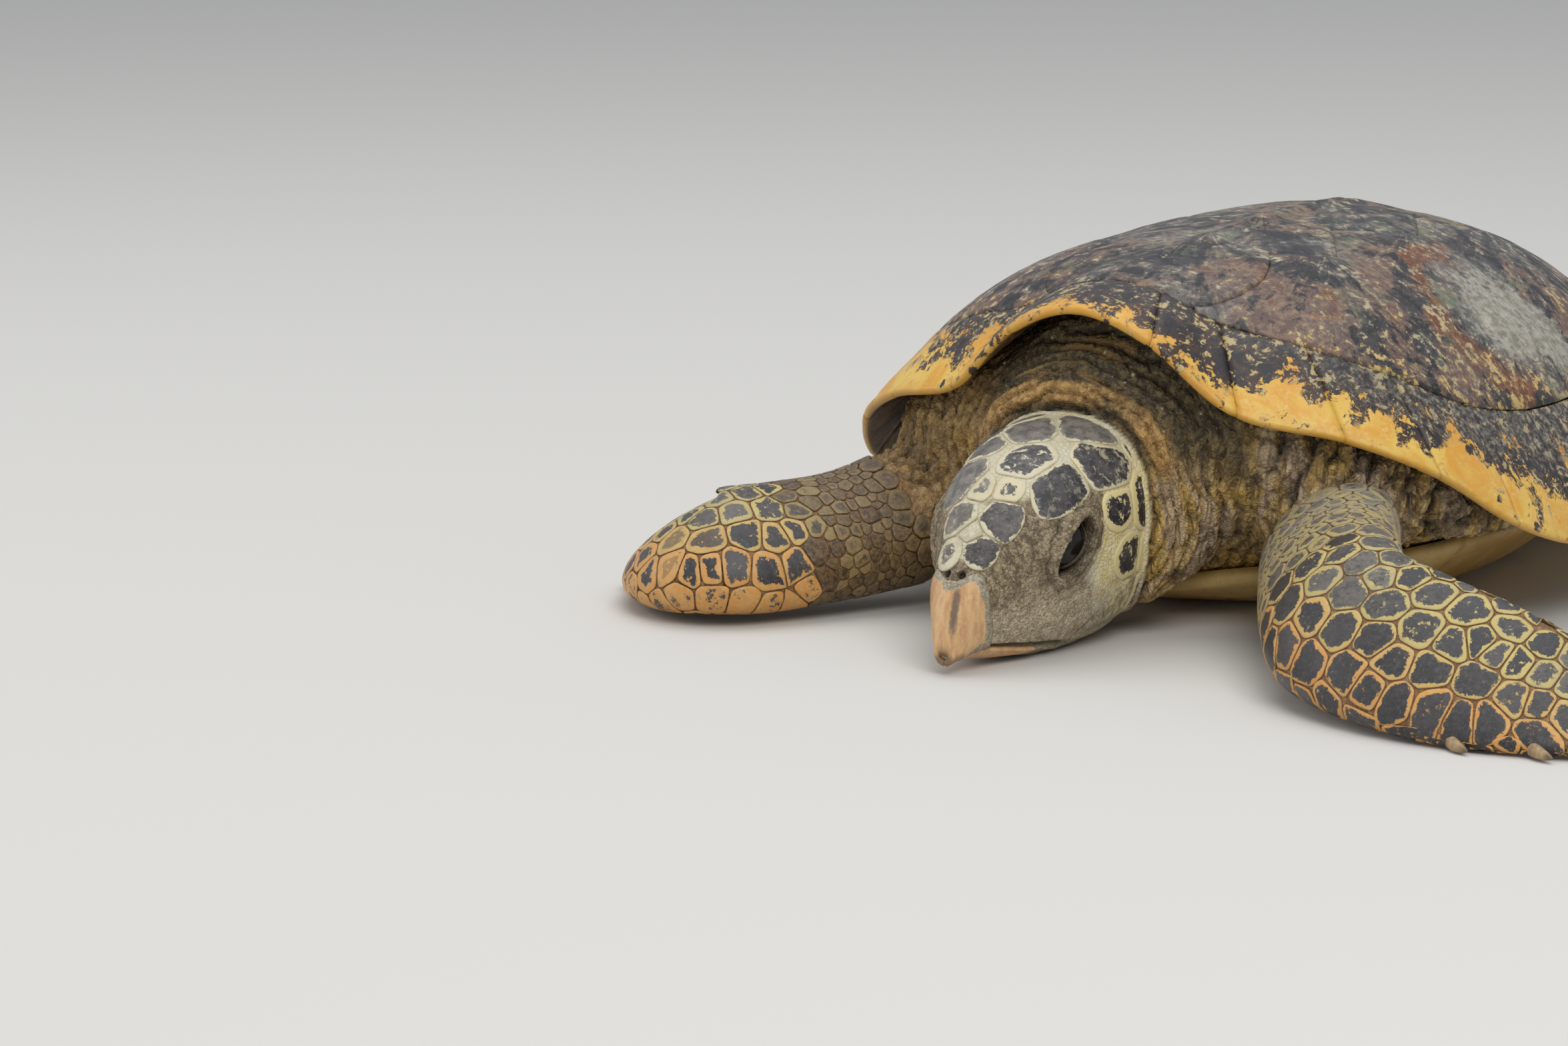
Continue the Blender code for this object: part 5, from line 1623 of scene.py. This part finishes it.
def edge_scutes(name, spans, nodes, material):
    """Marginal scutes as one piece; spans are rows of (k, side, first, end gap)."""
    points = []
    faces = []
    values = {"across": [], "front": [], "bias": []}
    spots = []
    for number, span in enumerate(spans):
        rings = []
        for step, (k, side, first, gap) in enumerate(span):
            ring, across = rim_section(k, side, first, gap)
            rings.append(ring)
            values["across"] += across
            values["front"] += [smooth(4.5, 2.0, k)] * len(ring)
            bias = 0.06 + 0.03 * (chance(first, 3) - 0.5) + 0.05 * smooth(5, 9, k)
            bias += 0.09 * smooth(2.4, 0.8, k) + 0.05 * smooth(1.0, 0.2, k)
            if side < 0:
                bias -= 0.09 * smooth(2.2, 3.4, k) * smooth(7, 6, k)
            values["bias"] += [bias] * len(ring)
            cell = (number + 0.04 + 0.92 * step / (len(span) - 1)) / len(spans)
            spots += [(cell, 0.02 + 0.94 * index / len(ring)) for index in range(len(ring))]
        base = add_rings(points, faces, rings)
        for ring_index in (0, len(span) - 1):
            for column in (*values.values(), spots):
                column.append(column[base + ring_index * len(rings[0])])
    add_piece(name, points, faces, material, "marginal_scute", nodes, values, spots)


def make_edge(material):
    for label, side in SIDES:
        spans = []
        for first in range(1, LAST):
            low = first + SEAM_K
            high = first + 1 - SEAM_K * (1.4 if first == LAST - 1 else 1)
            spans.append([(k, side, first, min(k - low, high - k))
                          for k in steps(low, high, 16)])
        edge_scutes(f"marginals_{label}", spans,
                    [f"marginal_{label}_{number}" for number in range(1, LAST)], material)
    span = [(abs(turn), 1 if turn >= 0 else -1, 0, 1 - SEAM_K - abs(turn))
            for turn in steps(SEAM_K - 1, 1 - SEAM_K, 36)]
    edge_scutes("nuchal_plate", [span], ["nuchal"], material)


def make_shell(material):
    number = 0
    for index, (start, stop) in enumerate(zip(VERTEBRAL_SEAMS, VERTEBRAL_SEAMS[1:]), 1):
        number += 1
        scute(f"vertebral_plate_{index}", f"vertebral_{index}",
              start if start == 0 else start + SEAM_K, stop, lambda k: 0.0,
              lambda k: vertebral_edge(min(k, VERTEBRAL_TIPS[1] + 2)) - SEAM_U, (1, -1),
              stop, material, number)
    for label, side in SIDES:
        for index, (start, stop) in enumerate(zip(COSTAL_SEAMS, COSTAL_SEAMS[1:]), 1):
            number += 1
            first = start + (COSTAL_TIP if index == 1 else SEAM_K)
            last = stop - (COSTAL_TIP if index == 4 else 0)
            scute(f"costal_plate_{label}_{index}", f"costal_{label}_{index}", first, stop,
                  lambda k: vertebral_edge(k) + SEAM_U, lambda k: rim_inner(k) - SEAM_U,
                  (side,), last, material, number)


BELLY_ROWS = 30


def make_belly(material):
    """The belly plate with its seams sunk in."""
    turns = around(LAST / 104)
    rings = []
    groove = []
    for r in steps(0.04, 1.0, BELLY_ROWS):
        ring = []
        for k, side in turns:
            point = plastron_point(r, k, side)
            seam = min([abs(point.y - y) for y in PLASTRON_SEAMS] + [abs(point.x)])
            sunk = smooth(0.0022, 0.0, seam)
            groove.append(sunk)
            ring.append(point + Vector((0, 0, 0.0009 * sunk)))
        rings.append(ring)
    for r in steps(1.0, 0.04, 10):
        rings.append([plastron_point(r * 0.985, k, side) + Vector((0, 0, PLASTRON_PLATE))
                      for k, side in turns])
    points, faces = closed_rings(rings)
    groove += [0.0] * (len(points) - len(groove))
    low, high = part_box("plastron")
    half = (BELLY_ROWS + 1) * len(turns)
    spots = [((point.x - low[0]) / (high[0] - low[0]) * 0.49 + (0 if index < half else 0.5),
              (point.y - low[1]) / (high[1] - low[1])) for index, point in enumerate(points)]
    add_piece("belly_plate", points, faces, material, "plastron_scute", ["plastron"],
              {"groove": groove}, spots)


# ---------------------------------------------------------------- horn and eyes

def mouth_turn(position):
    """The turn round the head at which the bite line runs."""
    forward, _, top, bottom = spline(HEAD, position)
    middle = bottom + HEAD_WIDEST * (top - bottom)
    down = (middle - bite(forward)) / (middle - bottom)
    if down >= 1:
        return pi
    cosine = clamp(max(down, 0.0) ** (HEAD_POWER / 2))
    return pi - atan2(sqrt(1 - cosine * cosine), cosine)


def bite(forward):
    return mouth_line(forward) - 0.0045 * smooth(0.088, 0.104, forward)


UPPER_BACK = 9.15               # sections of the head where the horn begins and ends
LOWER_BACK = 7.3
LOWER_END = 10.0


def make_beak(material):
    """Upper and lower beak as closed shells of horn over the jaws."""
    end = len(HEAD) - 1
    shares = steps(-1, 1, 44)
    rows = []
    values = []
    for step in steps(0, 1, 34):
        row = []
        for share in shares:
            wide = abs(share)
            back = UPPER_BACK - 0.75 * smooth(0.05, 0.4, wide) - 0.25 * smooth(0.62, 1.0, wide)
            position = back + (end - back) * step
            turn = share * mouth_turn(position) * 0.985
            thick = 0.0014 * smooth(0.0, 0.1, step) + 0.0003
            outer = head_point(position, turn, thick)
            streak = 0.00025 * rough((outer.x * 60, outer.y * 60, outer.z * 9), 1.0, 2)
            normal_out = head_point(position, turn, thick + streak)
            inner = head_point(min(position, end), turn, -0.003)
            row.append((normal_out, inner))
            local = HEAD_FRAME.inverted() @ outer
            mark = 0.85 * smooth(0.0052, 0.001, abs(local.x - 0.0062)) * (
                smooth(-0.056, -0.03, local.z) * smooth(-0.006, -0.016, local.z))
            tip = smooth(-0.046, -0.062, local.z) * smooth(0.085, 0.105, -local.y)
            cover = max(smooth(0.3, 0.02, step), 0.9 * smooth(0.8, 1.0, wide)
                        * smooth(0.75, 0.35, step))
            values.append((mark, tip, cover))
        rows.append(row)
    low_tip = head_place(0.0, 0.1125, -0.06)
    rows.append([(low_tip.lerp(top, 0.35), bottom) for top, bottom in rows[-1]])
    values += [(0.0, 1.0, 0.0)] * len(shares)
    points, faces = slab(rows)
    columns = {key: [value[index] for value in values] * 2
               for index, key in enumerate(("stain", "tip", "covered"))}
    add_piece("upper_beak", points, faces, material, "beak_horn", ["beak_upper"], columns)
    rows = []
    for step in steps(0, 1, 26):
        row = []
        for share in shares:
            back = LOWER_BACK - 1.5 * smooth(0.25, 1.0, abs(share))
            position = back + (LOWER_END - back) * step
            open_turn = min(mouth_turn(position) + 0.075, pi)
            turn = pi + share * (pi - open_turn)
            thick = 0.001 * smooth(0.0, 0.12, step) * smooth(1.0, 0.93, step) + 0.0002
            row.append((head_point(position, turn, thick),
                        head_point(position, turn, -0.0028)))
        rows.append(row)
    points, faces = slab(rows)
    add_piece("lower_beak", points, faces, material, "beak_horn", ["beak_lower"], {})


def make_eyes(material):
    for label, side in SIDES:
        place = eye_frame(side) @ Matrix.Translation((0, 0, -EYE_SINK))
        rings = []
        iris = []
        for height in steps(176, 4, 40):
            tall = radians(height)
            rings.append([place @ Vector((EYE_SIZE[0] * sin(tall) * cos(turn),
                                          EYE_SIZE[1] * sin(tall) * sin(turn),
                                          EYE_SIZE[2] * cos(tall)))
                          for turn in full_turn(56)])
            iris += [smooth(16, 20, height) * smooth(40, 34, height)] * 56
        points, faces = closed_rings(rings)
        add_piece(f"eyeball_{label}", points, faces, material, "eye", [f"eye_{label}"],
                  {"iris": iris + [0.0, 0.0]})


# Claws stand at these places along the front and hind limbs.
CLAWS = {"front": (6.15, 7.05), "hind": (2.75, 3.55)}
CLAW_LENGTH = 0.022
CLAW_RADIUS = 0.0048
CLAW_SINK = 0.004
CLAW_LEAN = 0.75
CLAW_DROP = 0.1


def make_claws(material):
    """Curved horn claws on the leading edge of each limb."""
    for name, (sections, side) in LIMBS.items():
        points = []
        faces = []
        tips = []
        for position in CLAWS[name.split("_")[0]]:
            at, along, lead, _, chord, _ = limb_frame(sections, position)
            aim = (lead * CLAW_LEAN + along).normalized()
            aim = on_floor(mirror(aim, side), -CLAW_DROP).normalized()
            root = at + lead * (chord - CLAW_SINK)
            root = on_floor(mirror(root, side), CLAW_RADIUS + 0.0003)
            sideways = aim.cross(mirror(along, side)).normalized()
            hook = sideways.cross(aim)
            rings = []
            for step in steps(0, 1, 18):
                radius = CLAW_RADIUS * (1 - step ** 2.2) ** 0.75 + 0.0001
                middle = root + aim * CLAW_LENGTH * step - hook * 0.0016 * sin(pi * step)
                rings.append([on_floor(middle + sideways * radius * cos(turn)
                                       + hook * radius * 0.85 * sin(turn), 0.0002)
                              for turn in full_turn(20)])
                tips += [step] * 20
            add_rings(points, faces, rings)
            tips += [0.0, 1.0]
        add_piece(f"claws_{name}", points, faces, material, "claw_horn",
                  [f"claw_{name}_1", f"claw_{name}_2"],
                  {"tip": tips, "stain": [0.0] * len(tips)})


# ---------------------------------------------------------------- the stage

CAMERA_AT = Vector((1.785, -3.428, 0.746))
CAMERA_TURN = (0.587097, 0.184766, 0.0006)      # azimuth, fall and roll in radians
CAMERA_LENS = 114.08
FLOOR_REACH = 30.0
# The lamps: name, place, size and share of the power.
LAMPS = [("key light", (2.6, -2.6, 3.6), 2.6, 1.0), ("sky light", (-0.4, 0.4, 4.4), 4.0, 0.8),
         ("fill light", (-3.2, -2.2, 1.8), 2.6, 0.3)]
LAMPS_AIM = Vector((0, -0.15, 0.12))


def make_stage(settings):
    """A pale floor, soft lights and the camera."""
    mesh = bpy.data.meshes.new("floor")
    corners = [(x * FLOOR_REACH, y * FLOOR_REACH, 0)
               for x, y in ((-1, -1), (1, -1), (1, 1), (-1, 1))]
    mesh.from_pydata(corners, [], [(0, 1, 2, 3)])
    mesh.materials.append(Look("pale floor", 0.9).finish(settings.floor_colour))
    link("floor", mesh)
    for name, place, size, power in LAMPS:
        lamp = bpy.data.lights.new(name, "AREA")
        lamp.energy = settings.light_power * power
        lamp.size = size
        made = link(name, lamp)
        made.location = place
        aim = LAMPS_AIM - made.location
        made.rotation_euler = aim.to_track_quat("-Z", "Y").to_euler()
    world = bpy.data.worlds.new("soft daylight")
    world.use_nodes = True
    sky = world.node_tree.nodes["Background"]
    sky.inputs["Color"].default_value = (0.86, 0.9, 0.96, 1)
    sky.inputs["Strength"].default_value = 0.55
    bpy.context.scene.world = world
    azimuth, fall, roll = CAMERA_TURN
    ahead = Vector((-sin(azimuth) * cos(fall), cos(azimuth) * cos(fall), -sin(fall)))
    right = Vector((cos(azimuth), sin(azimuth), 0))
    turned_frame = Matrix((right, right.cross(ahead), -ahead)).transposed().to_4x4()
    turned_frame.translation = CAMERA_AT
    lens = bpy.data.cameras.new("camera")
    lens.lens = CAMERA_LENS
    lens.sensor_width = 36
    camera = link("camera", lens)
    camera.matrix_world = turned_frame @ Matrix.Rotation(-roll, 4, "Z")
    bpy.context.scene.camera = camera
    bpy.context.scene.view_settings.view_transform = "Standard"


# ---------------------------------------------------------------- the add-on

class TurtleSettings(bpy.types.PropertyGroup):
    """Sizes and colours of the turtle that a user would change."""
    scale_height: FloatProperty(
        name="Scale height", description="How far the scales stand above the skin",
        default=0.0011, min=0.0, unit="LENGTH")
    scale_seam: FloatProperty(
        name="Scale seam", description="Width of the seams between scales",
        default=0.0006, min=0.0, unit="LENGTH")
    amber: FloatVectorProperty(
        name="Amber", description="Colour of the borders of the flipper scales",
        default=(0.52, 0.4, 0.115), size=3, subtype="COLOR")
    orange: FloatVectorProperty(
        name="Orange", description="Colour of the same at the leading edge",
        default=(0.64, 0.27, 0.045), size=3, subtype="COLOR")
    horn_colour: FloatVectorProperty(
        name="Horn", description="Colour of the beak",
        default=(0.68, 0.43, 0.2), size=3, subtype="COLOR")
    floor_colour: FloatVectorProperty(
        name="Floor", description="Colour of the floor",
        default=(0.66, 0.64, 0.6), size=3, subtype="COLOR")
    light_power: FloatProperty(
        name="Light", description="Strength of the soft lights",
        default=95.0, min=0.0, unit="POWER")


# For each limb: where its scales start and where the big ones do, as sections, then the
# lengths of a big and of a small scale.
COATS = {"front_flipper_left": limb_seeds("front_flipper_left", 1.75, 3.1, 0.035, 0.0125),
         "front_flipper_right": limb_seeds("front_flipper_right", 1.75, 2.9, 0.026, 0.0095),
         "hind_flipper_left": limb_seeds("hind_flipper_left", 0.9, 1.9, 0.024, 0.011),
         "hind_flipper_right": limb_seeds("hind_flipper_right", 0.9, 1.9, 0.024, 0.011)}
SHIELDS = head_seeds()


class TURTLE_OT_skin(bpy.types.Operator):
    """Grow one skin over head, neck, body, limbs and tail"""
    bl_idname = "turtle.skin"
    bl_label = "Skin"

    def execute(self, context):
        make_skin(finish_skin())
        return {"FINISHED"}


class TURTLE_OT_head_scales(bpy.types.Operator):
    """Lay the shields of the head"""
    bl_idname = "turtle.head_scales"
    bl_label = "Head shields"

    def execute(self, context):
        settings = context.scene.turtle
        body = Body(skin_rings(head_point, HEAD, 88, 96))
        lay_scales("head_scales", body, SHIELDS, SHIELD_SEAM, settings.scale_height,
                   finish_head_scales(), "skin", (0.25, 0.42))
        return {"FINISHED"}


class TURTLE_OT_limb_scales(bpy.types.Operator):
    """Lay the scales of the flippers"""
    bl_idname = "turtle.limb_scales"
    bl_label = "Flipper scales"

    def execute(self, context):
        settings = context.scene.turtle
        finish = finish_scales("turtle flipper scales", (0.017, 0.015, 0.018),
                               tuple(settings.amber), tuple(settings.orange),
                               (0.26, 0.235, 0.185))
        for name, (seeds, spread) in COATS.items():
            sections, side = LIMBS[name]
            body = Body(limb_rings(sections, side, 150, 96, -SKIN_DEPTH))
            lay_scales(f"scales_{name}", body, settle(body, seeds, settings.scale_seam),
                       settings.scale_seam, settings.scale_height, finish, "skin", spread)
        return {"FINISHED"}


class TURTLE_OT_shell(bpy.types.Operator):
    """Make the big scutes of the back"""
    bl_idname = "turtle.shell"
    bl_label = "Back scutes"

    def execute(self, context):
        make_shell(finish_shell())
        return {"FINISHED"}


class TURTLE_OT_edge(bpy.types.Operator):
    """Make the marginal scutes and the nuchal scute"""
    bl_idname = "turtle.edge"
    bl_label = "Edge scutes"

    def execute(self, context):
        make_edge(finish_marginals())
        return {"FINISHED"}


class TURTLE_OT_belly(bpy.types.Operator):
    """Make the belly plate"""
    bl_idname = "turtle.belly"
    bl_label = "Belly plate"

    def execute(self, context):
        make_belly(finish_plastron())
        return {"FINISHED"}


class TURTLE_OT_horn(bpy.types.Operator):
    """Make the beak and the claws"""
    bl_idname = "turtle.horn"
    bl_label = "Beak and claws"

    def execute(self, context):
        make_beak(finish_horn("turtle beak horn", tuple(context.scene.turtle.horn_colour),
                              (0.54, 0.29, 0.13), (0.19, 0.11, 0.055)))
        make_claws(finish_horn("turtle claw horn", (0.4, 0.27, 0.13), (0.27, 0.17, 0.08),
                               (0.1, 0.07, 0.045)))
        return {"FINISHED"}


class TURTLE_OT_eyes(bpy.types.Operator):
    """Make the eyes"""
    bl_idname = "turtle.eyes"
    bl_label = "Eyes"

    def execute(self, context):
        make_eyes(finish_eye())
        return {"FINISHED"}


class TURTLE_OT_stage(bpy.types.Operator):
    """Set up floor, lights and camera"""
    bl_idname = "turtle.stage"
    bl_label = "Stage"

    def execute(self, context):
        make_stage(context.scene.turtle)
        return {"FINISHED"}


class TURTLE_PT_panel(bpy.types.Panel):
    """Settings and pieces of the turtle"""
    bl_label = "Turtle"
    bl_idname = "TURTLE_PT_panel"
    bl_space_type = "VIEW_3D"
    bl_region_type = "UI"
    bl_category = "Turtle"

    def draw(self, context):
        settings = context.scene.turtle
        for name in TurtleSettings.__annotations__:
            self.layout.prop(settings, name)
        for maker in MAKERS:
            self.layout.operator(maker.bl_idname)


MAKERS = (TURTLE_OT_stage, TURTLE_OT_skin, TURTLE_OT_head_scales, TURTLE_OT_limb_scales,
          TURTLE_OT_shell, TURTLE_OT_edge, TURTLE_OT_belly, TURTLE_OT_horn, TURTLE_OT_eyes)


CLASSES = (TurtleSettings, *MAKERS, TURTLE_PT_panel)


def register():
    for item in CLASSES:
        bpy.utils.register_class(item)
    bpy.types.Scene.turtle = PointerProperty(type=TurtleSettings)


def unregister():
    del bpy.types.Scene.turtle
    for item in reversed(CLASSES):
        bpy.utils.unregister_class(item)


def main():
    register()
    for maker in MAKERS:
        name = maker.bl_idname.split(".")[1]
        getattr(bpy.ops.turtle, name)()


if __name__ == "__main__":
    main()
